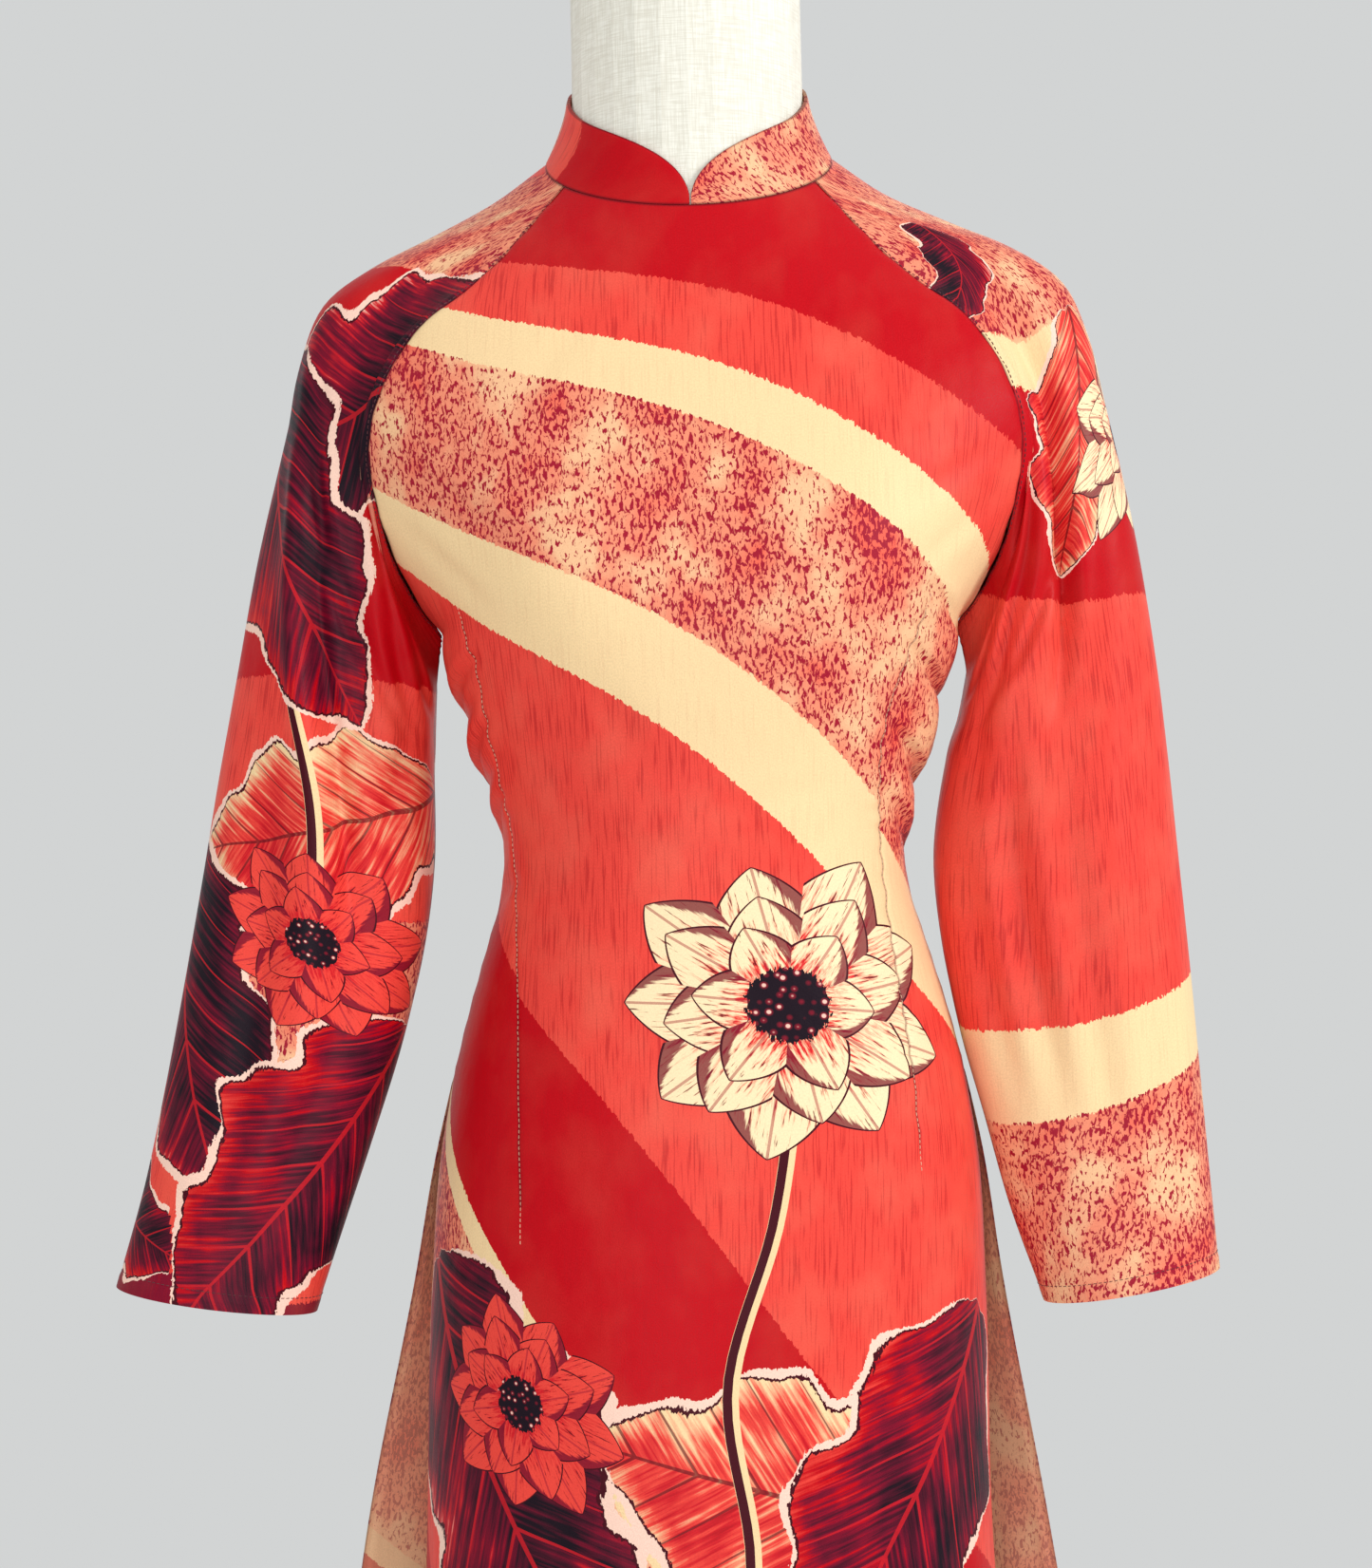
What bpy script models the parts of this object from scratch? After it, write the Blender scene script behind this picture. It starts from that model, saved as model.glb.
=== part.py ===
"""Ao dai tunic with long raglan sleeves and a stand collar, shown on a limbless dress form.

Metres, +Z up. The front faces -Y and +X is the wearer's left. The origin is the middle of the
underside of the stand's round base.
"""

import bmesh
import bpy
import math
import numpy as np

# Driving sizes of the garment, in metres
CLOTH = 0.0012            # wall of the printed crepe with its seam turnings
COLLAR_CLOTH = 0.0018     # collar band: two layers with a stiffener
SEAM_GAP = 0.0003         # clear space between two sewn pieces
HEM_HEIGHT = 0.10         # lowest edge of both flaps above the floor
SLIT_HEIGHT = 0.920       # where the side slits begin
UNDERARM_HEIGHT = 1.154
WAIST_HEIGHT = 1.045
NECK_HALF_WIDTH = 0.0775
NECK_HALF_DEPTH = 0.0615
NECK_SIDE_HEIGHT = 1.407  # neckline at the side of the neck
NECK_FRONT_DROP = 0.0375
NECK_BACK_RISE = 0.0170
FRONT_NECK_ANGLE = 60.0   # where the front raglan seams meet the neckline, from the centre front
BACK_NECK_ANGLE = 125.0   # where the back raglan seams meet it
COLLAR_HEIGHT = 0.0345
COLLAR_TOP_HALF_WIDTH = 0.0655
COLLAR_TOP_HALF_DEPTH = 0.0585
COLLAR_CORNER_ANGLE = 50.0
COLLAR_CORNER_POWER = 2.3
COLLAR_FRONT_ANGLES = (0.35, 1.2, 2.6, 4.6)
COLLAR_ROWS = (0.0, 0.3, 0.65, 1.0)
COLLAR_SETTLE = 1.5       # how soon the band leans in to the neck above its seam

# Pocket-like folds that hang at each side between the dart and the side seam, above the waist.
# side is -1 for the wearer's right; inner is the share of the half section where folds begin.
PUCKER_FIELDS = ("side", "z", "half_height", "depth")
PUCKERS = [
    (-1, 1.122, 0.022, 0.0065),
    (-1, 1.086, 0.018, 0.0070),
    (-1, 1.056, 0.015, 0.0030),
    (1, 1.127, 0.020, 0.0060),
    (1, 1.088, 0.024, 0.0075),
    (1, 1.048, 0.015, 0.0040),
]
PUCKER_SLANT = 0.055
PUCKER_INNER = 0.58
PUCKER_BACK_INNER = 0.45
PUCKER_FULL = 0.86
BUST_EDGE = 0.65          # share of the half section where the bust begins to fade to the seam

# Mesh rows and columns
PANEL_COLUMNS = 16
RAGLAN_ROWS = 10
CREASE_ROW = 6            # below this row the sleeve folds back against the panel
WAIST_ROW = 22
SLIT_ROW = 27
HEM_ROW = 40
SLEEVE_RINGS = 22
BLEND_RINGS = 6
NECK_SEGMENTS = 6
RING_SEGMENTS = 2 * RAGLAN_ROWS + NECK_SEGMENTS

# Heights of the mesh rows below the underarm, spread evenly between these levels
ROW_LEVELS = [
    (RAGLAN_ROWS, UNDERARM_HEIGHT),
    (WAIST_ROW, WAIST_HEIGHT),
    (SLIT_ROW, SLIT_HEIGHT),
    (HEM_ROW, HEM_HEIGHT),
]

# Raglan seams, from the neckline to the underarm, with the height of the panel's middle on the
# same row and the degrees that its section turns from the middle to the seam
RAGLAN_FIELDS = ("row", "x", "y", "z", "middle_z", "arc")
RAGLAN_FRONT = [
    (2, 0.1050, -0.0500, 1.3420, 1.3300, 52),
    (4, 0.1480, -0.0600, 1.3030, 1.2920, 50),
    (6, 0.1695, -0.0600, 1.2520, 1.2460, 58),
    (8, 0.1610, -0.0400, 1.1940, 1.1960, 74),
    (9, 0.1500, -0.0190, 1.1690, 1.1745, 83),
    (10, 0.1390, 0.0000, UNDERARM_HEIGHT, UNDERARM_HEIGHT, 90),
]
RAGLAN_BACK = [
    (2, 0.1050, 0.0560, 1.3640, 1.3800, 50),
    (4, 0.1480, 0.0680, 1.3120, 1.3250, 50),
    (6, 0.1680, 0.0660, 1.2540, 1.2620, 58),
    (8, 0.1600, 0.0430, 1.1940, 1.2000, 74),
    (9, 0.1500, 0.0200, 1.1690, 1.1745, 83),
    (10, 0.1390, 0.0000, UNDERARM_HEIGHT, UNDERARM_HEIGHT, 90),
]

# Side seams and the free edges below the slits
SIDE_FIELDS = ("z", "x", "y", "arc")
SIDE_SEAM = [
    (UNDERARM_HEIGHT, 0.1390, 0.0000, 90),
    (1.130, 0.1300, 0.0010, 90),
    (1.100, 0.1210, 0.0020, 90),
    (1.070, 0.1135, 0.0020, 90),
    (1.040, 0.1085, 0.0020, 90),
    (1.015, 0.1100, 0.0020, 90),
    (0.980, 0.1200, 0.0020, 90),
    (0.950, 0.1290, 0.0020, 90),
    (SLIT_HEIGHT, 0.1370, 0.0030, 90),
]
FRONT_EDGE = [
    (SLIT_HEIGHT, 0.1370, 0.0030, 90),
    (0.870, 0.1455, 0.0040, 90),
    (0.800, 0.1500, 0.0050, 90),
    (0.660, 0.1530, 0.0000, 88),
    (0.480, 0.1640, -0.0100, 84),
    (HEM_HEIGHT, 0.1880, -0.0280, 76),
]
BACK_EDGE = [
    (SLIT_HEIGHT, 0.1370, 0.0030, 90),
    (0.870, 0.1490, 0.0110, 82),
    (0.800, 0.1620, 0.0280, 69),
    (0.660, 0.1910, 0.0550, 56),
    (0.480, 0.2180, 0.0720, 50),
    (HEM_HEIGHT, 0.2520, 0.0900, 46),
]

# Middle line of each panel, and how far the corners of its section stand out
MIDDLE_FIELDS = ("z", "y", "square")
FRONT_MIDDLE = [
    (1.330, -0.0765, 0.00),
    (1.292, -0.0895, 0.00),
    (1.246, -0.1000, 0.00),
    (1.196, -0.1070, 0.01),
    (1.154, -0.1095, 0.03),
    (1.112, -0.1040, 0.04),
    (1.075, -0.0965, 0.03),
    (1.040, -0.0925, 0.02),
    (1.005, -0.0930, 0.02),
    (0.960, -0.0975, 0.03),
    (0.900, -0.1030, 0.04),
    (0.800, -0.1060, 0.04),
    (0.660, -0.1080, 0.04),
    (0.480, -0.1110, 0.03),
    (HEM_HEIGHT, -0.1180, 0.00),
]
BACK_MIDDLE = [
    (1.380, 0.0835, 0.00),
    (1.325, 0.0990, 0.00),
    (1.262, 0.1060, 0.00),
    (1.200, 0.1040, 0.01),
    (1.154, 0.0980, 0.03),
    (1.112, 0.0870, 0.02),
    (1.070, 0.0765, 0.02),
    (1.035, 0.0725, 0.02),
    (1.000, 0.0765, 0.03),
    (0.960, 0.0890, 0.04),
    (0.910, 0.1030, 0.05),
    (0.860, 0.1110, 0.04),
    (0.800, 0.1140, 0.02),
    (0.660, 0.1150, 0.00),
    (0.480, 0.1170, 0.00),
    (HEM_HEIGHT, 0.1240, 0.00),
]

# One line for each station of a sleeve, from the shoulder to the cuff. inner is the underarm
# side and outer the outside of the arm, both seen from the front; depth is front to back.
SLEEVE_FIELDS = ("ring", "inner_x", "inner_z", "outer_x", "outer_z", "centre_y", "half_depth")
SLEEVE_RIGHT = [
    (6, 0.1435, 1.1205, 0.2190, 1.2690, 0.001, 0.0560),
    (8, 0.1450, 1.1020, 0.2360, 1.2000, 0.000, 0.0525),
    (10, 0.1455, 1.0790, 0.2490, 1.1340, -0.001, 0.0495),
    (12, 0.1465, 1.0310, 0.2595, 1.0800, -0.003, 0.0470),
    (14, 0.1530, 0.9830, 0.2690, 1.0260, -0.006, 0.0445),
    (16, 0.1650, 0.9350, 0.2795, 0.9715, -0.009, 0.0410),
    (18, 0.1805, 0.8880, 0.2908, 0.9170, -0.012, 0.0370),
    (20, 0.1970, 0.8400, 0.3035, 0.8625, -0.015, 0.0330),
    (22, 0.2130, 0.7930, 0.3190, 0.8090, -0.018, 0.0300),
]
SLEEVE_LEFT = [
    (6, 0.1440, 1.1205, 0.2205, 1.2735, 0.001, 0.0560),
    (8, 0.1400, 1.1020, 0.2355, 1.2020, 0.000, 0.0530),
    (10, 0.1325, 1.0790, 0.2460, 1.1320, -0.001, 0.0505),
    (12, 0.1250, 1.0310, 0.2515, 1.0780, -0.003, 0.0480),
    (14, 0.1275, 0.9830, 0.2555, 1.0240, -0.006, 0.0450),
    (16, 0.1355, 0.9350, 0.2595, 0.9700, -0.009, 0.0410),
    (18, 0.1475, 0.8880, 0.2630, 0.9150, -0.012, 0.0370),
    (20, 0.1600, 0.8390, 0.2665, 0.8600, -0.015, 0.0330),
    (22, 0.1765, 0.7900, 0.2700, 0.8060, -0.018, 0.0295),
]
# Outline of the shoulder seen from the front, from the neckline to the first sleeve station
SHOULDER_RIGHT = [
    (0.0775, 1.4070),
    (0.1070, 1.3865),
    (0.1390, 1.3705),
    (0.1730, 1.3540),
    (0.1990, 1.3340),
    (0.2120, 1.3030),
    (0.2190, 1.2690),
]
SHOULDER_LEFT = [
    (0.0775, 1.4070),
    (0.1070, 1.3865),
    (0.1390, 1.3725),
    (0.1740, 1.3570),
    (0.2000, 1.3370),
    (0.2130, 1.3070),
    (0.2205, 1.2735),
]

# Long soft folds of a sleeve: from ring and angle to ring and angle round the sleeve (0 is the
# outside of the arm, 90 the front, 180 the underarm), with depth and half width in degrees
FOLD_FIELDS = ("ring_a", "angle_a", "ring_b", "angle_b", "depth", "half_width")
FOLDS_RIGHT = [
    (2, 78, 15, 132, 0.0085, 20),
    (7, 55, 20, 72, 0.0035, 24),
    (4, 292, 15, 240, 0.0050, 22),
]
FOLDS_LEFT = [
    (2, 60, 14, 98, 0.0085, 20),
    (9, 128, 20, 108, 0.0035, 24),
    (4, 288, 15, 236, 0.0050, 22),
]

BUST_X = 0.080
BUST_Z = 1.178
BUST_OUT = 0.0100
BUST_SPREAD_X = 0.046
BUST_SPREAD_Z = 0.052

# The flaps hang a little towards the wearer's right
FLAP_SWAY = 0.0065
FLAP_SWAY_FULL = 0.62     # height below which they have moved all the way
FLAP_SWAY_NONE = 0.95

# Waves of the hanging flaps: count across the panel, depth at the hem and shift. They are full
# below one height and gone above another, and lose a share of their depth at the edges.
FRONT_WAVE = {"count": 2.5, "depth": 0.0070, "shift": 0.6}
BACK_WAVE = {"count": 3.5, "depth": 0.0090, "shift": 1.9}
WAVE_FULL = 0.30
WAVE_NONE = 0.86
WAVE_EDGE_LOSS = 0.4

# How a sleeve leaves the raglan seam: where the underarm begins as a share of the ring, its
# sideways lean, the share of the panel's own direction, the pull at both ends of the blend, and
# where the shoulder's outline begins to shape the ring
SLEEVE_UNDERARM = 0.55
SLEEVE_LEAN = 0.25
SLEEVE_SEAM_SHARE = 0.75
SLEEVE_START_PULL = 0.75
SLEEVE_END_PULL = 0.9
SLEEVE_SHOULDER_LOW = -0.15
SHOULDER_EASE = (0.2, 0.7)
SHOULDER_PASSES = 4       # times that the seam's directions are evened out over the shoulder
UNDERARM_LEAN = 0.4       # sideways lean of the cloth's wall at the underarm point
CREASE_ROWS = 2           # rows over which the armpit crease comes in

# Dress form under the garment: one line for each level, on the panels' rows. ease is how far it
# lies inside the outer cloth and drop how far below, and the cap is the end of its shoulder.
FIT_FIELDS = ("row", "ease", "drop", "cap_x", "cap_z")
FORM_FIT = [
    (0, 0.0022, 0.0008, 0.0774, 1.4087),
    (1, 0.0026, 0.0010, 0.0990, 1.3895),
    (2, 0.0040, 0.0018, 0.1240, 1.3755),
    (3, 0.0065, 0.0020, 0.1480, 1.3625),
    (4, 0.0090, 0.0020, 0.1660, 1.3470),
    (5, 0.0100, 0.0010, 0.1740, 1.3200),
    (6, 0.0110, 0.0000, 0.1740, 1.2860),
    (7, 0.0110, 0.0000, 0.1680, 1.2480),
    (8, 0.0080, 0.0000, 0.1560, 1.2040),
    (9, 0.0055, 0.0000, 0.1460, 1.1740),
    (10, 0.0038, 0.0000, 0.1390, 1.1540),
]
BODY_EASE = 0.0035
FORM_BODY_ROWS = (12, 14, 16, 18, 20, 22, 23, 24, 25, 27)
CAP_POINTS = 5
# Hips of the form below the slits, as shares of the section at the slits' top
HIP_FIELDS = ("z", "wide", "deep")
HIPS = [
    (0.870, 1.030, 1.015),
    (0.825, 1.045, 1.020),
    (0.780, 1.040, 1.010),
    (0.740, 1.010, 0.960),
]
# Neck of the form: heights above the neckline, then heights above the floor
NECK_FIELDS = ("height", "half_width", "half_depth")
NECK_BASE = [
    (0.010, 0.0688, 0.0572),
    (0.021, 0.0645, 0.0561),
    (0.033, 0.0625, 0.0554),
]
NECK_TOP = [
    (1.472, 0.0623, 0.0553),
    (1.512, 0.0623, 0.0553),
    (1.518, 0.0600, 0.0530),
]
FORM_SEGMENTS = 28

POLE_RADIUS = 0.0160
POLE_SIDES = 24
BASE_RADIUS = 0.1650
BASE_HEIGHT = 0.0100
BASE_EDGE = 0.0030
BASE_SIDES = 40
SHARP_ANGLE = math.radians(50)

COLOURS = {
    "printed_crepe": (0.62, 0.05, 0.05),
    "form_linen": (0.80, 0.77, 0.68),
    "stand_steel": (0.72, 0.72, 0.70),
}


def remove_everything():
    for thing in list(bpy.data.objects):
        bpy.data.objects.remove(thing)


def material(name, roughness, metallic=0.0):
    made = bpy.data.materials.get(name) or bpy.data.materials.new(name)
    made.use_nodes = True
    shader = made.node_tree.nodes["Principled BSDF"]
    shader.inputs["Base Color"].default_value = (*COLOURS[name], 1.0)
    shader.inputs["Roughness"].default_value = roughness
    shader.inputs["Metallic"].default_value = metallic
    return made


def column(levels, fields, name):
    return np.array([level[fields.index(name)] for level in levels], float)


def smooth_curve(knots, values, at):
    """A cubic through the values, with each slope taken from the neighbours on both sides."""
    slopes = np.gradient(values, knots)
    span = np.clip(np.searchsorted(knots, at, side="right") - 1, 0, len(knots) - 2)
    width = knots[span + 1] - knots[span]
    t = (at - knots[span]) / width
    start = values[span] * (1 + 2 * t) * (1 - t) ** 2 + slopes[span] * width * t * (1 - t) ** 2
    end = values[span + 1] * t * t * (3 - 2 * t) + slopes[span + 1] * width * t * t * (t - 1)
    return start + end


def fade(value, low, high):
    """0 below low, 1 above high and a smooth step between them."""
    t = np.clip((value - low) / (high - low), 0, 1)
    return t * t * (3 - 2 * t)


def read_table(table, fields, at):
    """Each field of a table but the first, worked out at the given values of the first."""
    table = sorted(table)
    knots = column(table, fields, fields[0])
    return {field: smooth_curve(knots, column(table, fields, field), at)[:, None]
            for field in fields[1:]}


def neckline(turn):
    """Points of the neckline at angles from the centre front, in radians."""
    facing = np.cos(turn)
    height = NECK_SIDE_HEIGHT - NECK_FRONT_DROP * facing
    height -= (NECK_FRONT_DROP - NECK_BACK_RISE) * np.minimum(facing, 0) ** 2
    return np.stack([NECK_HALF_WIDTH * np.sin(turn), -NECK_HALF_DEPTH * facing, height], axis=-1)


def panel_grid(raglan, free_edge, middle, front, folds=True):
    """Outer surface of a body panel as an array of rows, columns and x, y, z."""
    neck_arc = FRONT_NECK_ANGLE if front else 180 - BACK_NECK_ANGLE
    neck_turn = np.radians(neck_arc * np.linspace(-1, 1, PANEL_COLUMNS + 1))
    top = neckline(neck_turn if front else math.pi - neck_turn)
    corner, centre = top[-1], top[PANEL_COLUMNS // 2]
    upper = read_table([(0, *corner, centre[2], neck_arc)] + raglan, RAGLAN_FIELDS,
                       np.arange(RAGLAN_ROWS, dtype=float))
    rows, levels = zip(*ROW_LEVELS)
    heights = np.interp(np.arange(RAGLAN_ROWS, HEM_ROW + 1), rows, levels)
    seam_rows = SLIT_ROW - RAGLAN_ROWS
    parts = [upper, read_table(SIDE_SEAM, SIDE_FIELDS, heights[:seam_rows]),
             read_table(free_edge, SIDE_FIELDS, heights[seam_rows:])]
    edge = {field: np.concatenate([part[field] for part in parts]) for field in ("x", "y", "arc")}
    edge_z = np.concatenate([upper["z"], heights[:, None]])
    middle_z = np.concatenate([upper["middle_z"], heights[:, None]])
    centre = read_table([(centre[2], centre[1], 0.0)] + middle, MIDDLE_FIELDS, middle_z[:, 0])
    across = np.linspace(-1, 1, PANEL_COLUMNS + 1)[None, :]
    arc = np.radians(edge["arc"])
    turn = arc * across
    rise = (np.cos(turn) - np.cos(arc)) / (1 - np.cos(arc))
    square = 1 + centre["square"] * np.sin(math.pi * across) ** 2
    x = edge["x"] * np.sin(turn) / np.sin(arc) * square
    y = edge["y"] + (centre["y"] - edge["y"]) * rise * square
    z = edge_z + (middle_z - edge_z) * rise
    out_x = np.sin(turn) * np.abs(centre["y"] - edge["y"])
    out_y = np.cos(turn) * edge["x"] * (-1 if front else 1)
    length = np.hypot(out_x, out_y)
    out = bust(x, z, across) if front else np.zeros_like(x)
    if folds:
        out += panel_folds(z, across, front)
    x = x - FLAP_SWAY * (1 - fade(z, FLAP_SWAY_FULL, FLAP_SWAY_NONE))
    grid = np.stack([x + out * out_x / length, y + out * out_y / length, z], axis=2)
    grid[0] = top
    return grid


def bust(x, z, across):
    """How far the front stands out over the bust, nothing at its seams."""
    sides = ((np.abs(x) - BUST_X) / BUST_SPREAD_X) ** 2 + ((z - BUST_Z) / BUST_SPREAD_Z) ** 2
    return BUST_OUT * np.exp(-sides) * (1 - fade(np.abs(across), BUST_EDGE, 1.0))


def panel_folds(z, across, front):
    """How far a panel stands out from its plain section: side puckers and flap waves."""
    off_middle = np.abs(across)
    level = z + PUCKER_SLANT * (off_middle - 1)
    reach = fade(off_middle, PUCKER_INNER if front else PUCKER_BACK_INNER, PUCKER_FULL)
    wave = FRONT_WAVE if front else BACK_WAVE
    hang = (1 - fade(z, WAVE_FULL, WAVE_NONE)) * (1 - WAVE_EDGE_LOSS * off_middle)
    out = wave["depth"] * hang * np.sin(math.pi * wave["count"] * across + wave["shift"])
    for pucker in PUCKERS:
        p = dict(zip(PUCKER_FIELDS, pucker))
        swell = np.clip(1 - ((level - p["z"]) / p["half_height"]) ** 2, 0, 1)
        out += p["depth"] * swell * reach * (np.sign(across) == p["side"])
    return out


def unit(vectors):
    return vectors / np.linalg.norm(vectors, axis=-1, keepdims=True)


def sleeve_grid(stations, shoulder, folds, side, front, back):
    """Outer surface of a sleeve: rings from the raglan seams and neckline down to the cuff.

    Each ring starts at the outside of the arm and runs round the front to the underarm.
    side is -1 for the wearer's right sleeve and 1 for the left one.
    """
    edge = -1 if side > 0 else 0
    half = NECK_SEGMENTS // 2
    neck_turns = np.radians(np.linspace(FRONT_NECK_ANGLE, BACK_NECK_ANGLE, NECK_SEGMENTS + 1))
    neck = neckline(neck_turns) * (side, 1, 1)
    seam_front = front[: RAGLAN_ROWS + 1, edge]
    seam_back = back[: RAGLAN_ROWS + 1, edge]
    mouth = np.concatenate([neck[:half][::-1], seam_front[1:], seam_back[-2::-1], neck[half:-1][::-1]])
    inward_front = unit(front[: RAGLAN_ROWS + 1, edge - side] - seam_front)
    inward_back = unit(back[: RAGLAN_ROWS + 1, edge - side] - seam_back)
    inward = np.zeros_like(mouth)
    inward[half - 1:half + RAGLAN_ROWS] = inward_front
    inward[half + RAGLAN_ROWS:half + 2 * RAGLAN_ROWS] = inward_back[-2::-1]

    angle = np.radians(np.arange(RING_SEGMENTS) * 360 / RING_SEGMENTS + 360 / RING_SEGMENTS)
    rings = np.arange(BLEND_RINGS, SLEEVE_RINGS + 1, dtype=float)
    at = read_table(stations, SLEEVE_FIELDS, rings)
    reach = (1 + np.cos(angle)) / 2
    x = at["inner_x"] + (at["outer_x"] - at["inner_x"]) * reach
    z = at["inner_z"] + (at["outer_z"] - at["inner_z"]) * reach
    y = at["centre_y"] - at["half_depth"] * np.sin(angle) + 0 * x
    arm = np.stack([x * side, y, z], axis=2)

    first, slope = arm[0], arm[1] - arm[0]
    chord = first - mouth
    span = np.linalg.norm(chord, axis=1, keepdims=True)
    low = fade(-np.cos(angle), SLEEVE_UNDERARM, 1.0)[:, None]
    upper = fade(np.cos(angle), *SHOULDER_EASE)[:, None]
    down = unit(np.array([SLEEVE_LEAN * side, 0.0, -1.0]))
    plain = unit(chord)
    seam = unit(-inward * (1 - low) + down * low + 1e-9)
    has_seam = (np.linalg.norm(inward, axis=1) > 0.5)[:, None]
    mixed = unit(seam * SLEEVE_SEAM_SHARE + plain * (1 - SLEEVE_SEAM_SHARE))
    start = np.where(has_seam, mixed, plain)
    for turn in range(SHOULDER_PASSES):
        eased = unit(np.roll(start, 1, axis=0) + 2 * start + np.roll(start, -1, axis=0))
        start = unit(start + (eased - start) * upper)
    start = start * span * SLEEVE_START_PULL
    end = unit(slope) * span * SLEEVE_END_PULL
    blended = []
    for ring in range(BLEND_RINGS):
        t = ring / BLEND_RINGS
        blended.append(mouth * (1 + 2 * t) * (1 - t) ** 2 + start * t * (1 - t) ** 2
                       + first * t * t * (3 - 2 * t) + end * t * t * (t - 1))
    blended = np.array(blended)
    outline = np.array(shoulder)
    top = RING_SEGMENTS - 1
    weight = fade(np.cos(angle), SLEEVE_SHOULDER_LOW, 1.0)[:, None]
    for ring in range(1, BLEND_RINGS):
        target = np.array([outline[ring, 0] * side, blended[ring, top, 1], outline[ring, 1]])
        blended[ring] += (target - blended[ring, top]) * weight

    grid = np.concatenate([blended, arm])
    ring_index = np.arange(SLEEVE_RINGS + 1)[:, None]
    degrees = np.degrees(angle)[None, :]
    middle = (grid.min(axis=1, keepdims=True) + grid.max(axis=1, keepdims=True)) / 2
    outward = unit(grid - middle)
    for fold in folds:
        f = dict(zip(FOLD_FIELDS, fold))
        share = np.clip((ring_index - f["ring_a"]) / (f["ring_b"] - f["ring_a"]), 0, 1)
        centre = f["angle_a"] + (f["angle_b"] - f["angle_a"]) * share
        strength = np.sin(math.pi * share) * f["depth"]
        trough = np.exp(-((degrees - centre) / f["half_width"]) ** 2)
        grid = grid - outward * (strength * trough)[:, :, None]
    return grid


def normals(grid, cyclic=False):
    """Unit vectors across a grid of points, on the side that rows by columns gives."""
    if cyclic:
        wide = np.concatenate([grid[:, -1:], grid, grid[:, :1]], axis=1)
        along = np.gradient(wide, axis=1)[:, 1:-1]
    else:
        along = np.gradient(grid, axis=1)
    return unit(np.cross(along, np.gradient(grid, axis=0)))


def sew(front, back, sleeves):
    """Inward directions of every piece, alike on both sides of each seam, and the seam gaps."""
    into = {"front": normals(front), "back": -normals(back)}
    for side, sleeve in sleeves.items():
        into[side] = -normals(sleeve, cyclic=True) * side
    half = NECK_SEGMENTS // 2
    shift = SEAM_GAP / 2
    moved = {"front": np.zeros_like(front), "back": np.zeros_like(back)}
    for side, sleeve in sleeves.items():
        edge = -1 if side > 0 else 0
        moved[side] = np.zeros_like(sleeve)
        for name, panel, first, step in (("front", front, half - 1, 1),
                                         ("back", back, half - 1 + 2 * RAGLAN_ROWS, -1)):
            seam = slice(0, RAGLAN_ROWS + 1)
            ring = first + step * np.arange(RAGLAN_ROWS + 1)
            to_panel = unit(panel[seam, edge - side] - panel[seam, edge])
            to_sleeve = unit(sleeve[1, ring] - sleeve[0, ring])
            crease = fade(np.arange(RAGLAN_ROWS + 1), CREASE_ROW, CREASE_ROW + CREASE_ROWS)[:, None]
            shared = unit(into[name][seam, edge] + into[side][0, ring]) * (1 - crease)
            into[name][seam, edge] = unit(into[name][seam, edge] * crease + shared)
            into[side][0, ring] = unit(into[side][0, ring] * crease + shared)
            apart = to_panel - to_sleeve
            apart -= shared * np.sum(apart * shared, axis=1, keepdims=True)
            moved[name][seam, edge] = unit(apart) * shift
            moved[side][0, ring] = -unit(apart) * shift
        seam = slice(RAGLAN_ROWS, SLIT_ROW + 1)
        shared = unit(into["front"][seam, edge] + into["back"][seam, edge])
        into["front"][seam, edge] = shared
        into["back"][seam, edge] = shared
        moved["front"][seam, edge] += (0, -shift, 0)
        moved["back"][seam, edge] += (0, shift, 0)
        underarm = half - 1 + RAGLAN_ROWS
        moved[side][0, underarm] = (side * shift, 0, shift)
        into[side][0, underarm] = unit(np.array([UNDERARM_LEAN * side, 0.0, 1.0]))
    return into, moved


def collar_grid():
    """Outer surface of the collar band, rows up and columns round the neck from the centre front."""
    shoulder = np.linspace(FRONT_NECK_ANGLE, BACK_NECK_ANGLE, NECK_SEGMENTS + 1)
    front = np.linspace(0, FRONT_NECK_ANGLE, PANEL_COLUMNS // 2 + 1)
    back = np.linspace(BACK_NECK_ANGLE, 180, PANEL_COLUMNS // 2 + 1)
    half = np.concatenate([COLLAR_FRONT_ANGLES, front[1:-1], shoulder[:-1], back])
    around = np.concatenate([half, 360 - half[-2::-1]])
    turn = np.radians(around)
    from_front = np.minimum(around, 360 - around)
    corner = np.clip(1 - from_front / COLLAR_CORNER_ANGLE, 0, 1)
    height = COLLAR_HEIGHT * (1 - corner ** COLLAR_CORNER_POWER) ** (1 / COLLAR_CORNER_POWER)
    low = neckline(turn)
    low[:, 2] += SEAM_GAP
    lean = np.stack([(COLLAR_TOP_HALF_WIDTH - NECK_HALF_WIDTH) * np.sin(turn),
                     (NECK_HALF_DEPTH - COLLAR_TOP_HALF_DEPTH) * np.cos(turn),
                     np.full_like(turn, COLLAR_HEIGHT)], axis=1)
    rows = []
    for share in COLLAR_ROWS:
        up = share * height / COLLAR_HEIGHT
        settle = 1 - (1 - up) ** COLLAR_SETTLE
        row = low + lean * up[:, None]
        row[:, :2] = low[:, :2] + lean[:, :2] * settle[:, None]
        rows.append(row)
    return np.array(rows)


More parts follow.
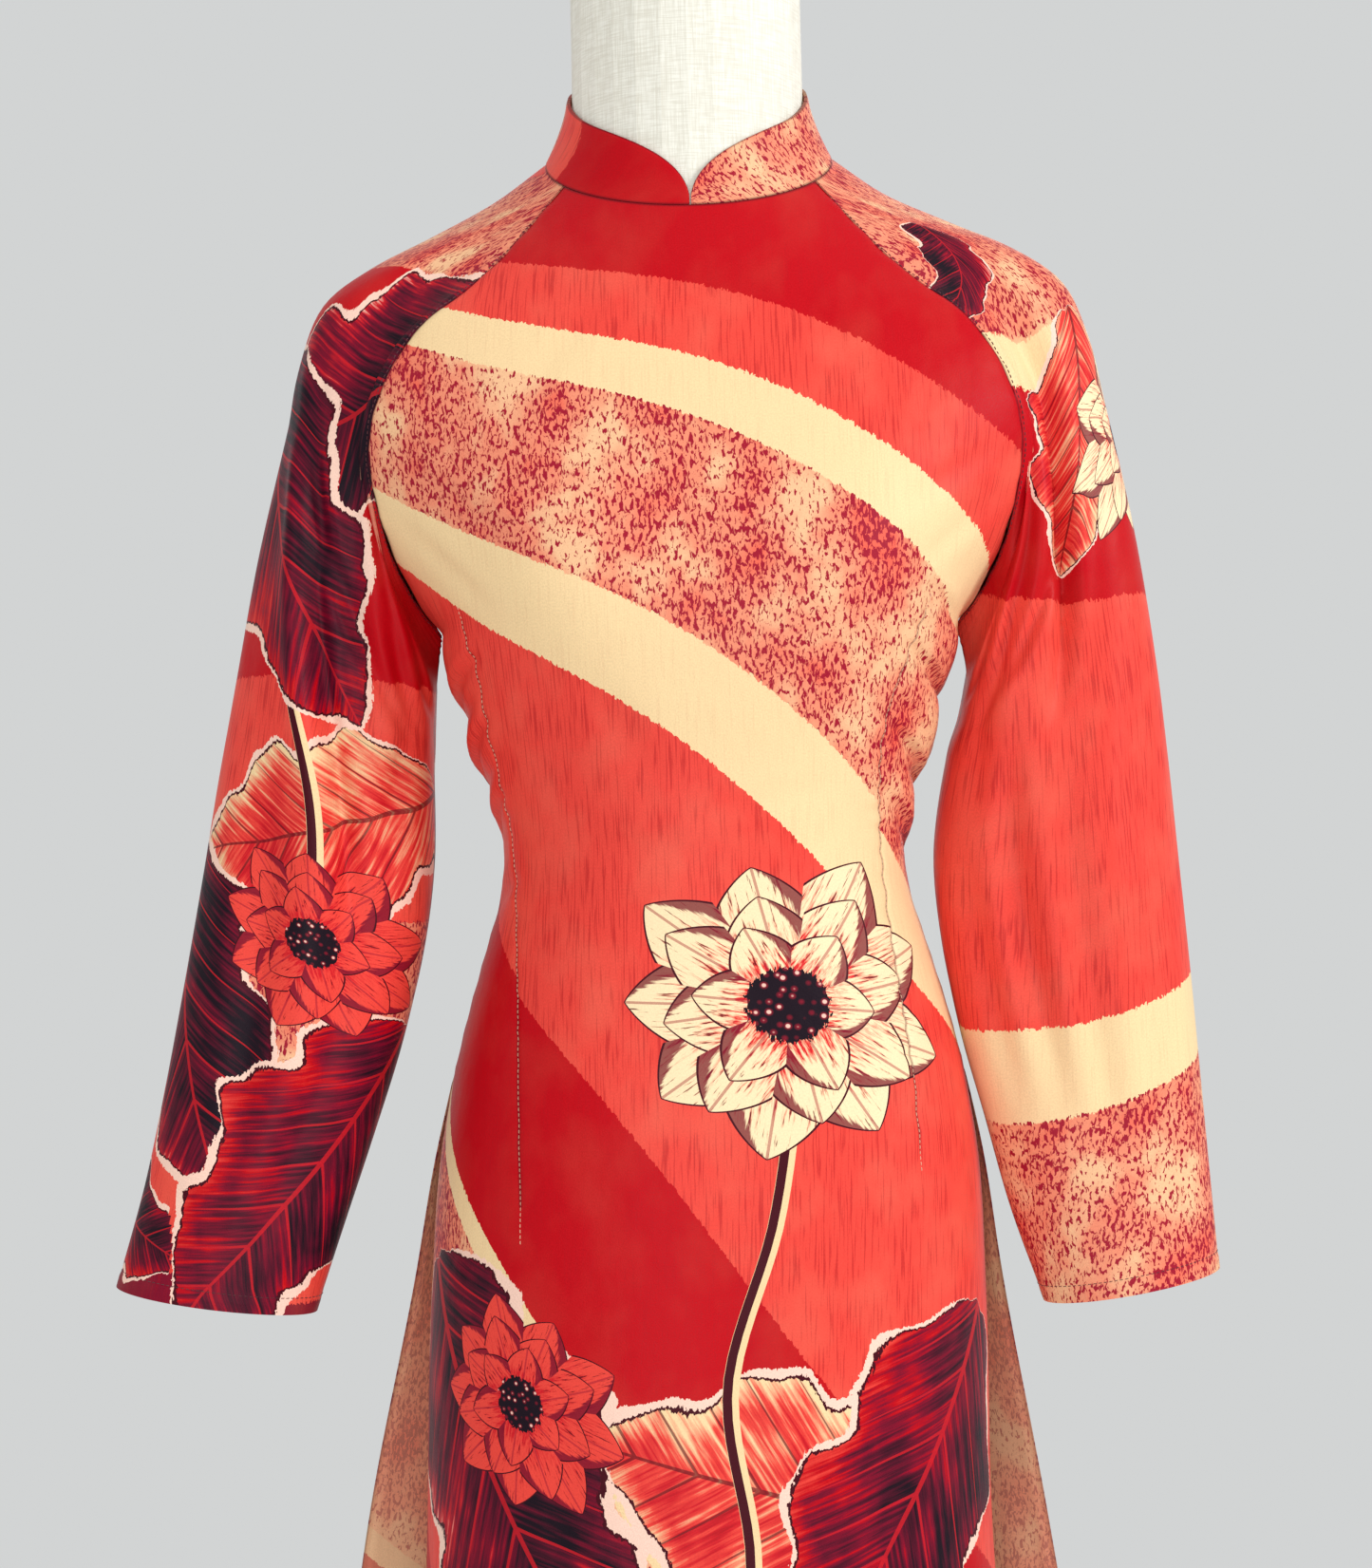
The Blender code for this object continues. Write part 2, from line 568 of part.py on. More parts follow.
def form_ring(front_row, back_row, ease, drop, cap):
    """A level of the form: the panels' sections and the shoulder caps, moved in and resampled."""
    outline = [front_row, back_row[::-1]]
    if cap:
        t = np.linspace(0, 1, CAP_POINTS)[1:-1, None]
        for start, end, side in ((front_row[-1], back_row[-1], 1), (back_row[0], front_row[0], -1)):
            swell = (np.array([side * cap[0], 0, cap[1]]) - (start + end) / 2) * (1, 0, 1)
            outline.append(start + (end - start) * t + swell * np.sin(math.pi * t))
    outline = np.concatenate(outline)
    around = np.arctan2(outline[:, 0], -outline[:, 1])
    radius = np.hypot(outline[:, 0], outline[:, 1]) - ease
    turn = form_turns()
    reach = np.interp(turn, around, radius, period=2 * math.pi)
    level = np.interp(turn, around, outline[:, 2], period=2 * math.pi) - drop
    return np.stack([reach * np.sin(turn), -reach * np.cos(turn), level], axis=1)


def form_turns():
    return np.radians(np.arange(FORM_SEGMENTS) * 360 / FORM_SEGMENTS)


def form_rings(front, back):
    """Rings of the dress form's body, top to bottom, inside the panels without their folds."""
    turn = form_turns()
    ellipse = np.stack([np.sin(turn), -np.cos(turn)], axis=1)
    rings = []
    for height, half_width, half_depth in NECK_TOP[::-1]:
        rings.append(np.column_stack([ellipse * (half_width, half_depth), np.full(FORM_SEGMENTS, height)]))
    for height, half_width, half_depth in NECK_BASE[::-1]:
        rings.append(np.column_stack([ellipse * (half_width, half_depth), neckline(turn)[:, 2] + height]))
    for row, ease, drop, cap_x, cap_z in FORM_FIT:
        rings.append(form_ring(front[row], back[row], ease, drop, (cap_x, cap_z)))
    for row in FORM_BODY_ROWS:
        rings.append(form_ring(front[row], back[row], BODY_EASE, 0.0, None))
    slit_ring = rings[-1]
    for height, wide, deep in HIPS:
        rings.append(slit_ring * (wide, deep, 0) + (0, 0, height))
    return rings


def split(quads, points):
    """Two triangles for each quad, cut along its shorter diagonal."""
    a, b, c, d = quads.T
    across = np.linalg.norm(points[a] - points[c], axis=1) <= np.linalg.norm(points[b] - points[d], axis=1)
    first = np.where(across[:, None], np.stack([a, b, c], axis=1), np.stack([a, b, d], axis=1))
    second = np.where(across[:, None], np.stack([a, c, d], axis=1), np.stack([b, c, d], axis=1))
    return np.concatenate([first, second])


def wall(name, outer, inner, cyclic, collection, finish):
    """A closed wall between two grids of points, with rims along its free edges.

    Both skins are cut along the same diagonals, so that they stay apart where a quad is twisted.
    """
    rows, columns = outer.shape[:2]
    count = rows * columns
    index = np.arange(count).reshape(rows, columns)
    if cyclic:
        index = np.concatenate([index, index[:, :1]], axis=1)
    points = np.concatenate([outer.reshape(-1, 3), inner.reshape(-1, 3)])
    corners = [index[:-1, :-1], index[1:, :-1], index[1:, 1:], index[:-1, 1:]]
    outside = split(np.stack(corners, axis=2).reshape(-1, 4), points)
    faces = outside.tolist() + (outside[:, ::-1] + count).tolist()
    borders = [index[0], index[-1][::-1]]
    if not cyclic:
        borders += [index[:, -1], index[::-1, 0]]
    for border in borders:
        rim = np.stack([border[:-1], border[1:], border[1:] + count, border[:-1] + count], axis=1)
        faces += split(rim, points).tolist()
    mesh = bpy.data.meshes.new(name)
    mesh.from_pydata(points.tolist(), [], faces)
    build = bmesh.new()
    build.from_mesh(mesh)
    bmesh.ops.recalc_face_normals(build, faces=build.faces)
    build.to_mesh(mesh)
    build.free()
    mesh.materials.append(finish)
    mesh.shade_smooth()
    mesh.set_sharp_from_angle(angle=SHARP_ANGLE)
    collection.objects.link(bpy.data.objects.new(name, mesh))


def build_garment(collection):
    crepe = material("printed_crepe", 0.55)
    front = panel_grid(RAGLAN_FRONT, FRONT_EDGE, FRONT_MIDDLE, True)
    back = panel_grid(RAGLAN_BACK, BACK_EDGE, BACK_MIDDLE, False)
    sleeves = {
        -1: sleeve_grid(SLEEVE_RIGHT, SHOULDER_RIGHT, FOLDS_RIGHT, -1, front, back),
        1: sleeve_grid(SLEEVE_LEFT, SHOULDER_LEFT, FOLDS_LEFT, 1, front, back),
    }
    into, moved = sew(front, back, sleeves)
    pieces = (("front_panel", "front", front), ("back_panel", "back", back),
              ("sleeve_right", -1, sleeves[-1]), ("sleeve_left", 1, sleeves[1]))
    for name, key, grid in pieces:
        outer = grid + moved[key]
        wall(name, outer, outer + into[key] * CLOTH, key in sleeves, collection, crepe)
    collar = collar_grid()
    wall("collar", collar, collar - normals(collar) * COLLAR_CLOTH, False, collection, crepe)


def build_form(collection, front, back):
    linen = material("form_linen", 0.85)
    rings = form_rings(front, back)[::-1]
    mesh = bpy.data.meshes.new("dress_form")
    build = bmesh.new()
    levels = [[build.verts.new(point) for point in ring.tolist()] for ring in rings]
    for below, above in zip(levels, levels[1:]):
        for here in range(FORM_SEGMENTS):
            after = (here + 1) % FORM_SEGMENTS
            build.faces.new((below[here], below[after], above[after], above[here]))
    build.faces.new(levels[0][::-1])
    build.faces.new(levels[-1])
    bmesh.ops.recalc_face_normals(build, faces=build.faces)
    build.to_mesh(mesh)
    build.free()
    mesh.materials.append(linen)
    mesh.shade_smooth()
    mesh.set_sharp_from_angle(angle=SHARP_ANGLE)
    collection.objects.link(bpy.data.objects.new("dress_form", mesh))


def build_stand(collection):
    steel = material("stand_steel", 0.35, 1.0)
    form_bottom = HIPS[-1][0]
    pole_foot = BASE_HEIGHT + SEAM_GAP
    pole_top = form_bottom - SEAM_GAP
    bpy.ops.mesh.primitive_cylinder_add(vertices=POLE_SIDES, radius=POLE_RADIUS, depth=pole_top - pole_foot,
                                        location=(0, 0, (pole_top + pole_foot) / 2))
    pole = bpy.context.object
    pole.name = "pole"
    bpy.ops.mesh.primitive_cylinder_add(vertices=BASE_SIDES, radius=BASE_RADIUS, depth=BASE_HEIGHT,
                                        location=(0, 0, BASE_HEIGHT / 2))
    base = bpy.context.object
    base.name = "base"
    edge = base.modifiers.new("edge", "BEVEL")
    edge.width = BASE_EDGE
    edge.segments = 2
    edge.limit_method = "ANGLE"
    for made in (pole, base):
        made.data.materials.append(steel)
        made.data.shade_smooth()
        made.data.set_sharp_from_angle(angle=SHARP_ANGLE)
        for owner in list(made.users_collection):
            owner.objects.unlink(made)
        collection.objects.link(made)


def main():
    remove_everything()
    collection = bpy.data.collections.new("ao_dai_on_dress_form")
    bpy.context.scene.collection.children.link(collection)
    build_garment(collection)
    plain_front = panel_grid(RAGLAN_FRONT, FRONT_EDGE, FRONT_MIDDLE, True, folds=False)
    plain_back = panel_grid(RAGLAN_BACK, BACK_EDGE, BACK_MIDDLE, False, folds=False)
    build_form(collection, plain_front, plain_back)
    build_stand(collection)


main()
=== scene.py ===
import math
import bpy
import numpy as np
from mathutils import Matrix, Vector


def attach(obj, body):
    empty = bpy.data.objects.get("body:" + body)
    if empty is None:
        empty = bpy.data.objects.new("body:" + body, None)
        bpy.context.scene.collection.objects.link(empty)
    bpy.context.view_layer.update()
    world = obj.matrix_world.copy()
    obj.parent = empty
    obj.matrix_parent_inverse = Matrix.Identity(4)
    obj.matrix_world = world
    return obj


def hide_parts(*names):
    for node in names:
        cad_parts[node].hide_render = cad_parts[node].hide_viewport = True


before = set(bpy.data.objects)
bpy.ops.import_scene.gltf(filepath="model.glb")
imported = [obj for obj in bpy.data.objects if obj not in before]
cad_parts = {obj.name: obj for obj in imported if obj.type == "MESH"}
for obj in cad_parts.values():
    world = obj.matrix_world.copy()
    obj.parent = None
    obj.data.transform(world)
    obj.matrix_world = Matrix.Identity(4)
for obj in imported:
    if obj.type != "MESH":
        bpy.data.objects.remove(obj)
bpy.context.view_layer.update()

# Sizes that every piece of the garment shares, in metres and degrees
cut = {
    "cloth": 0.0008,            # thickness of the crepe
    "collarCloth": 0.0016,      # collar band with its stiffener
    "neckHalfWidth": 0.0775,
    "neckHalfDepth": 0.0615,
    "neckSide": 1.407,          # height of the neckline beside the neck
    "neckFrontDrop": 0.0375,
    "neckBackRise": 0.0170,
    "frontNeckAngle": 60.0,     # where the front raglan seams meet the neckline
    "backNeckAngle": 125.0,
    "underarm": 1.154,
    "waist": 1.045,
    "slit": 0.920,
    "hem": 0.100,
    "raglanRows": 10,
    "waistRow": 22,
    "slitRow": 27,
    "hemRow": 40,
    "neckSteps": 6,
    "blendRings": 6,
    "cuffRing": 22,
    "finer": 6,                 # mesh steps for each row or ring of the cut
    "columnStep": 0.0034,       # width of a mesh column on the body
    "seamDip": 0.0008,          # how far a seam sinks into the cloth
    "seamReach": 0.0022,
    "panelHalf": 0.20,
    "hemSteps": (0.012, 0.035, 0.07, 0.12, 0.255, 0.285, 0.315),
    "cuffSteps": (0.015, 0.04, 0.08, 0.14, 0.175, 0.21),
    "edgeSteps": (0.0, 0.004, 0.009, 0.015, 0.022, 0.030),
    "dartSteps": (0.0, 0.004, 0.009, 0.016),
    "dartClear": 0.006,         # no other column this near to a dart's columns
    "edgeClear": 0.008,
}

sideSeam = [(0.920, 0.1370, 0.0030, 90), (0.950, 0.1290, 0.0020, 90), (0.980, 0.1200, 0.0020, 90),
            (1.015, 0.1100, 0.0020, 90), (1.040, 0.1085, 0.0020, 90), (1.070, 0.1135, 0.0020, 90),
            (1.100, 0.1210, 0.0020, 90), (1.130, 0.1300, 0.0010, 90), (1.154, 0.1390, 0.0000, 90)]

# Each table line of a raglan seam is row, x, y, z, height of the panel's middle and turn of the section.
# A line of an edge is height, x, y and turn, and one of a middle is height, y and squareness.
frontPanel = {
    "name": "frontPanel",
    "node": "front_panel",
    "front": True,
    "raglan": [(2, 0.1050, -0.0500, 1.3420, 1.3300, 52), (4, 0.1480, -0.0600, 1.3030, 1.2920, 50),
               (6, 0.1695, -0.0600, 1.2520, 1.2460, 58), (8, 0.1610, -0.0400, 1.1940, 1.1960, 74),
               (9, 0.1500, -0.0190, 1.1690, 1.1745, 83), (10, 0.1390, 0.0000, 1.1540, 1.1540, 90)],
    "edge": [(0.100, 0.1880, -0.0280, 76), (0.480, 0.1640, -0.0100, 84), (0.660, 0.1530, 0.0000, 88),
             (0.800, 0.1500, 0.0050, 90), (0.870, 0.1455, 0.0040, 90), (0.920, 0.1370, 0.0030, 90)],
    "middle": [(0.100, -0.1180, 0.00), (0.480, -0.1110, 0.03), (0.660, -0.1080, 0.04), (0.800, -0.1060, 0.04),
               (0.900, -0.1030, 0.04), (0.960, -0.0975, 0.03), (1.005, -0.0930, 0.02), (1.040, -0.0925, 0.02),
               (1.075, -0.0965, 0.03), (1.112, -0.1040, 0.04), (1.154, -0.1095, 0.03), (1.196, -0.1070, 0.01),
               (1.246, -0.1000, 0.00), (1.292, -0.0895, 0.00), (1.330, -0.0765, 0.00)],
    "wave": (2.5, 0.0070, 0.6),     # count across, depth at the hem and shift
    "puckerInner": 0.58,
    # darts: side, column share, then height and x of points on the seam
    "darts": [(-1, 0.75, [(0.835, 0.0930), (0.900, 0.0945), (0.960, 0.0960), (1.040, 0.1010), (1.090, 0.1065),
                          (1.130, 0.1110), (1.168, 0.1200)]),
              (1, 0.68, [(0.860, 0.1045), (0.910, 0.1020), (0.980, 0.0950), (1.040, 0.0905), (1.085, 0.0890),
                         (1.112, 0.0935), (1.140, 0.1030), (1.168, 0.1150)])],
    "dartTake": 0.012,
    "dartGather": (0.0003, 0.0007),
    # creases: u and v where one starts, where it ends, depth and half width
    "creases": [
        (-0.158, 0.135, -0.092, 0.176, 0.0012, 0.0060), (-0.168, 0.160, -0.108, 0.212, 0.0015, 0.0055),
        (0.165, 0.128, 0.100, 0.165, 0.0012, 0.0060), (0.172, 0.152, 0.112, 0.196, 0.0016, 0.0050),
        (0.124, 0.200, 0.184, 0.223, 0.0026, 0.0036), (0.118, 0.232, 0.180, 0.260, 0.0034, 0.0036),
        (0.104, 0.250, 0.152, 0.286, 0.0022, 0.0034), (0.102, 0.267, 0.172, 0.306, 0.0038, 0.0036),
        (0.103, 0.304, 0.164, 0.337, 0.0030, 0.0040), (-0.190, 0.262, -0.126, 0.230, 0.0036, 0.0038),
        (-0.176, 0.302, -0.126, 0.262, 0.0038, 0.0036), (-0.166, 0.330, -0.123, 0.300, 0.0032, 0.0038),
        (-0.152, 0.362, -0.114, 0.344, 0.0016, 0.0050), (-0.070, 0.330, 0.030, 0.342, 0.0008, 0.0090),
        (0.078, 0.300, -0.010, 0.318, 0.0008, 0.0080), (-0.060, 0.245, -0.020, 0.300, 0.0007, 0.0100),
        (0.010, 0.480, 0.030, 0.900, 0.0016, 0.0150), (-0.072, 0.560, -0.088, 1.180, 0.0020, 0.0160),
        (0.090, 0.520, 0.112, 1.220, 0.0022, 0.0150), (-0.130, 0.700, -0.150, 1.240, 0.0018, 0.0110),
        (0.050, 0.860, 0.046, 1.260, 0.0016, 0.0180), (-0.020, 0.820, -0.034, 1.255, 0.0018, 0.0170),
        (-0.045, 0.045, -0.100, 0.120, 0.0008, 0.0080), (0.050, 0.048, 0.108, 0.118, 0.0009, 0.0080)],
}

backPanel = {
    "name": "backPanel",
    "node": "back_panel",
    "front": False,
    "raglan": [(2, 0.1050, 0.0560, 1.3640, 1.3800, 50), (4, 0.1480, 0.0680, 1.3120, 1.3250, 50),
               (6, 0.1680, 0.0660, 1.2540, 1.2620, 58), (8, 0.1600, 0.0430, 1.1940, 1.2000, 74),
               (9, 0.1500, 0.0200, 1.1690, 1.1745, 83), (10, 0.1390, 0.0000, 1.1540, 1.1540, 90)],
    "edge": [(0.100, 0.2520, 0.0900, 46), (0.480, 0.2180, 0.0720, 50), (0.660, 0.1910, 0.0550, 56),
             (0.800, 0.1620, 0.0280, 69), (0.870, 0.1490, 0.0110, 82), (0.920, 0.1370, 0.0030, 90)],
    "middle": [(0.100, 0.1240, 0.00), (0.480, 0.1170, 0.00), (0.660, 0.1150, 0.00), (0.800, 0.1140, 0.02),
               (0.860, 0.1110, 0.04), (0.910, 0.1030, 0.05), (0.960, 0.0890, 0.04), (1.000, 0.0765, 0.03),
               (1.035, 0.0725, 0.02), (1.070, 0.0765, 0.02), (1.112, 0.0870, 0.02), (1.154, 0.0980, 0.03),
               (1.200, 0.1040, 0.01), (1.262, 0.1060, 0.00), (1.325, 0.0990, 0.00), (1.380, 0.0835, 0.00)],
    "wave": (3.5, 0.0090, 1.9),
    "puckerInner": 0.45,
    "darts": [(-1, 0.50, [(0.900, 0.0700), (0.980, 0.0640), (1.040, 0.0600), (1.100, 0.0640), (1.170, 0.0720)]),
              (1, 0.50, [(0.900, 0.0700), (0.980, 0.0640), (1.040, 0.0600), (1.100, 0.0640), (1.170, 0.0720)])],
    "dartTake": 0.008,
    "dartGather": (0.0003, 0.0003),
    "creases": [
        (-0.155, 0.160, -0.090, 0.196, 0.0013, 0.0060), (0.160, 0.166, 0.098, 0.206, 0.0014, 0.0060),
        (-0.150, 0.205, -0.100, 0.236, 0.0012, 0.0055), (0.150, 0.212, 0.108, 0.250, 0.0012, 0.0055),
        (-0.140, 0.296, -0.070, 0.320, 0.0016, 0.0060), (0.142, 0.304, 0.078, 0.332, 0.0018, 0.0055),
        (-0.136, 0.338, -0.060, 0.348, 0.0016, 0.0060), (0.138, 0.350, 0.064, 0.356, 0.0015, 0.0060),
        (-0.120, 0.384, -0.050, 0.378, 0.0012, 0.0070), (0.052, 0.330, -0.040, 0.346, 0.0010, 0.0080),
        (-0.100, 0.560, -0.140, 1.240, 0.0030, 0.0160), (0.030, 0.540, 0.040, 1.220, 0.0026, 0.0180),
        (0.110, 0.570, 0.160, 1.250, 0.0030, 0.0150), (-0.030, 0.620, -0.040, 1.240, 0.0024, 0.0180),
        (0.180, 0.760, 0.215, 1.280, 0.0022, 0.0110), (-0.190, 0.800, -0.220, 1.280, 0.0022, 0.0110)],
}

# side, height, half height and depth of the pocket-like folds beside the darts
puckers = [(-1, 1.122, 0.022, 0.0065), (-1, 1.086, 0.018, 0.0070), (-1, 1.056, 0.015, 0.0030),
           (1, 1.127, 0.020, 0.0060), (1, 1.088, 0.024, 0.0075), (1, 1.048, 0.015, 0.0040)]
pucker = {"slant": 0.055, "full": 0.86}
bust = {"x": 0.080, "z": 1.178, "out": 0.0100, "spreadX": 0.046, "spreadZ": 0.052, "edge": 0.65}
sway = {"shift": 0.0065, "full": 0.62, "none": 0.95}
waveFade = {"full": 0.30, "none": 0.86, "edgeLoss": 0.4}

# A line of a sleeve is ring, inner x and z, outer x and z, middle y and half depth.
# A fold is ring and angle where it starts, where it ends, depth and half width in degrees.
sleeveRight = {
    "name": "sleeveRight",
    "node": "sleeve_right",
    "side": -1,
    "stations": [(6, 0.1435, 1.1205, 0.2190, 1.2690, 0.001, 0.0560),
                 (8, 0.1450, 1.1020, 0.2360, 1.2000, 0.000, 0.0525),
                 (10, 0.1455, 1.0790, 0.2490, 1.1340, -0.001, 0.0495),
                 (12, 0.1465, 1.0310, 0.2595, 1.0800, -0.003, 0.0470),
                 (14, 0.1530, 0.9830, 0.2690, 1.0260, -0.006, 0.0445),
                 (16, 0.1650, 0.9350, 0.2795, 0.9715, -0.009, 0.0410),
                 (18, 0.1805, 0.8880, 0.2908, 0.9170, -0.012, 0.0370),
                 (20, 0.1970, 0.8400, 0.3035, 0.8625, -0.015, 0.0330),
                 (22, 0.2130, 0.7930, 0.3190, 0.8090, -0.018, 0.0300)],
    "shoulder": [(0, 0.0775, 1.4070), (1, 0.1070, 1.3865), (2, 0.1390, 1.3705), (3, 0.1730, 1.3540),
                 (4, 0.1990, 1.3340), (5, 0.2120, 1.3030), (6, 0.2190, 1.2690)],
    "folds": [(2, 78, 15, 132, 0.0085, 20), (7, 55, 20, 72, 0.0035, 24), (4, 292, 15, 240, 0.0050, 22)],
    "creases": [(3.5, 42, 15, 132, 0.0095, 8), (5.2, 40, 7.8, 104, 0.0046, 12), (5, 118, 9, 150, 0.0050, 9),
                (4.5, 140, 7.5, 168, 0.0036, 8), (6.5, 96, 9.5, 148, 0.0040, 10), (2, 84, 6, 128, 0.0034, 9),
                (9, 100, 17, 118, 0.0040, 9), (8, 150, 13, 128, 0.0036, 8), (11, 60, 20, 82, 0.0034, 11),
                (13, 128, 21, 108, 0.0030, 9), (5, 40, 11, 30, 0.0012, 12), (1.5, 60, 6, 62, 0.0014, 10),
                (3, 262, 11, 236, 0.0030, 9), (5, 222, 10, 205, 0.0034, 9), (9, 262, 18, 246, 0.0018, 11),
                (12, 300, 20, 282, 0.0014, 12), (14, 205, 21, 215, 0.0012, 12), (8, 330, 16, 322, 0.0010, 12)],
}
sleeveLeft = {
    "name": "sleeveLeft",
    "node": "sleeve_left",
    "side": 1,
    "stations": [(6, 0.1440, 1.1205, 0.2205, 1.2735, 0.001, 0.0560),
                 (8, 0.1400, 1.1020, 0.2355, 1.2020, 0.000, 0.0530),
                 (10, 0.1325, 1.0790, 0.2460, 1.1320, -0.001, 0.0505),
                 (12, 0.1250, 1.0310, 0.2515, 1.0780, -0.003, 0.0480),
                 (14, 0.1275, 0.9830, 0.2555, 1.0240, -0.006, 0.0450),
                 (16, 0.1355, 0.9350, 0.2595, 0.9700, -0.009, 0.0410),
                 (18, 0.1475, 0.8880, 0.2630, 0.9150, -0.012, 0.0370),
                 (20, 0.1600, 0.8390, 0.2665, 0.8600, -0.015, 0.0330),
                 (22, 0.1765, 0.7900, 0.2700, 0.8060, -0.018, 0.0295)],
    "shoulder": [(0, 0.0775, 1.4070), (1, 0.1070, 1.3865), (2, 0.1390, 1.3725), (3, 0.1740, 1.3570),
                 (4, 0.2000, 1.3370), (5, 0.2130, 1.3070), (6, 0.2205, 1.2735)],
    "folds": [(2, 60, 14, 98, 0.0085, 20), (9, 128, 20, 108, 0.0035, 24), (4, 288, 15, 236, 0.0050, 22)],
    "creases": [(1.8, 58, 10.5, 96, 0.0100, 6.5), (3.4, 96, 8.6, 120, 0.0046, 8), (5, 112, 9.5, 146, 0.0062, 8),
                (4.5, 136, 7.5, 166, 0.0044, 8), (6.2, 78, 8.4, 128, 0.0048, 10),
                (9.5, 122, 18.5, 112, 0.0050, 9), (11, 90, 20, 86, 0.0042, 9), (12, 146, 18, 136, 0.0034, 8),
                (8, 48, 14, 54, 0.0024, 11), (14, 58, 21, 66, 0.0026, 11), (6, 150, 12, 138, 0.0034, 8),
                (3, 262, 11, 236, 0.0030, 9), (5, 224, 10, 206, 0.0034, 9), (9, 266, 18, 248, 0.0018, 11),
                (12, 300, 20, 286, 0.0014, 12), (8, 330, 15, 324, 0.0010, 12)],
}


def smoothCurve(knots, values, at):
    # a cubic through the values, each slope taken from the neighbours on both sides
    slopes = np.gradient(values, knots)
    span = np.clip(np.searchsorted(knots, at, side="right") - 1, 0, len(knots) - 2)
    width = knots[span + 1] - knots[span]
    t = (at - knots[span]) / width
    start = values[span] * (1 + 2 * t) * (1 - t) ** 2 + slopes[span] * width * t * (1 - t) ** 2
    end = values[span + 1] * t * t * (3 - 2 * t) + slopes[span + 1] * width * t * t * (t - 1)
    return start + end


def fade(value, low, high):
    # 0 below low, 1 above high and a smooth step between them
    t = np.clip((value - low) / (high - low), 0, 1)
    return t * t * (3 - 2 * t)


def readTable(table, at):
    # the columns after the first of a table, at the given values of the first
    table = np.array(table, float)
    return [smoothCurve(table[:, 0], table[:, n], at)[:, None] for n in range(1, table.shape[1])]


def unit(vectors):
    return vectors / np.linalg.norm(vectors, axis=-1, keepdims=True)


def neckline(turn):
    # an ellipse round the neck that drops at the front; turn is the angle from the centre front
    facing = np.cos(turn)
    height = cut["neckSide"] - cut["neckFrontDrop"] * facing
    height = height - (cut["neckFrontDrop"] - cut["neckBackRise"]) * np.minimum(facing, 0) ** 2
    return np.stack([cut["neckHalfWidth"] * np.sin(turn), -cut["neckHalfDepth"] * facing, height], axis=-1)


def normals(grid, cyclic=False):
    # unit vectors across a grid, from the cross product of its two directions
    if cyclic:
        wide = np.concatenate([grid[:, -1:], grid, grid[:, :1]], axis=1)
        along = np.gradient(wide, axis=1)[:, 1:-1]
    else:
        along = np.gradient(grid, axis=1)
    return unit(np.cross(along, np.gradient(grid, axis=0)) + 1e-12)


def lengths(points, axis):
    # running length along one axis of a grid, from its first point
    steps = np.linalg.norm(np.diff(points, axis=axis), axis=-1)
    return np.concatenate([np.zeros_like(np.take(steps, [0], axis=axis)), np.cumsum(steps, axis=axis)],
                          axis=axis)


def panelEdges(piece, rows):
    # the seam or free edge and the middle line of a panel, on each row
    neckArc = cut["frontNeckAngle"] if piece["front"] else 180 - cut["backNeckAngle"]
    corner = neckline(np.radians(neckArc) if piece["front"] else math.pi - np.radians(neckArc))
    centre = neckline(np.array(0.0) if piece["front"] else np.array(math.pi))
    levels = [cut["raglanRows"], cut["waistRow"], cut["slitRow"], cut["hemRow"]]
    heights = np.interp(rows, levels, [cut["underarm"], cut["waist"], cut["slit"], cut["hem"]])
    top, flap = rows < cut["raglanRows"], rows >= cut["slitRow"]
    seam = ~top & ~flap
    upper = readTable([(0, *corner, centre[2], neckArc)] + piece["raglan"], rows[top])
    sewn = readTable(sideSeam, heights[seam])
    free = readTable(piece["edge"], heights[flap])
    level = heights[~top][:, None]
    edge = {"x": np.concatenate([upper[0], sewn[0], free[0]]),
            "y": np.concatenate([upper[1], sewn[1], free[1]]),
            "z": np.concatenate([upper[2], level]), "middleZ": np.concatenate([upper[3], level]),
            "arc": np.radians(np.concatenate([upper[4], sewn[2], free[2]]))}
    middle = sorted(piece["middle"] + [(float(centre[2]), float(centre[1]), 0.0)])
    edge["middleY"], edge["square"] = readTable(middle, edge["middleZ"][:, 0])
    return edge


def slideColumns(piece, columns, edge):
    # columns bend sideways so that one of them follows each dart
    across = np.repeat(columns[None, :], len(edge["z"]), axis=0)
    height = (edge["z"] + edge["middleZ"]) / 2
    for side, share, line in piece["darts"]:
        line = np.array(line)
        x = np.interp(height, line[:, 0], line[:, 1])
        at = np.arcsin(np.clip(x * np.sin(edge["arc"]) / edge["x"], 0, 0.97)) / edge["arc"]
        live = fade(height, line[0, 0] - 0.16, line[0, 0]) * (1 - fade(height, line[-1, 0], line[-1, 0] + 0.10))
        at = share + (at - share) * live
        turned = across * side
        slid = np.where(turned <= share, turned * at / share, at + (turned - share) * (1 - at) / (1 - share))
        across = np.where(turned > 0, slid * side, across)
    return across


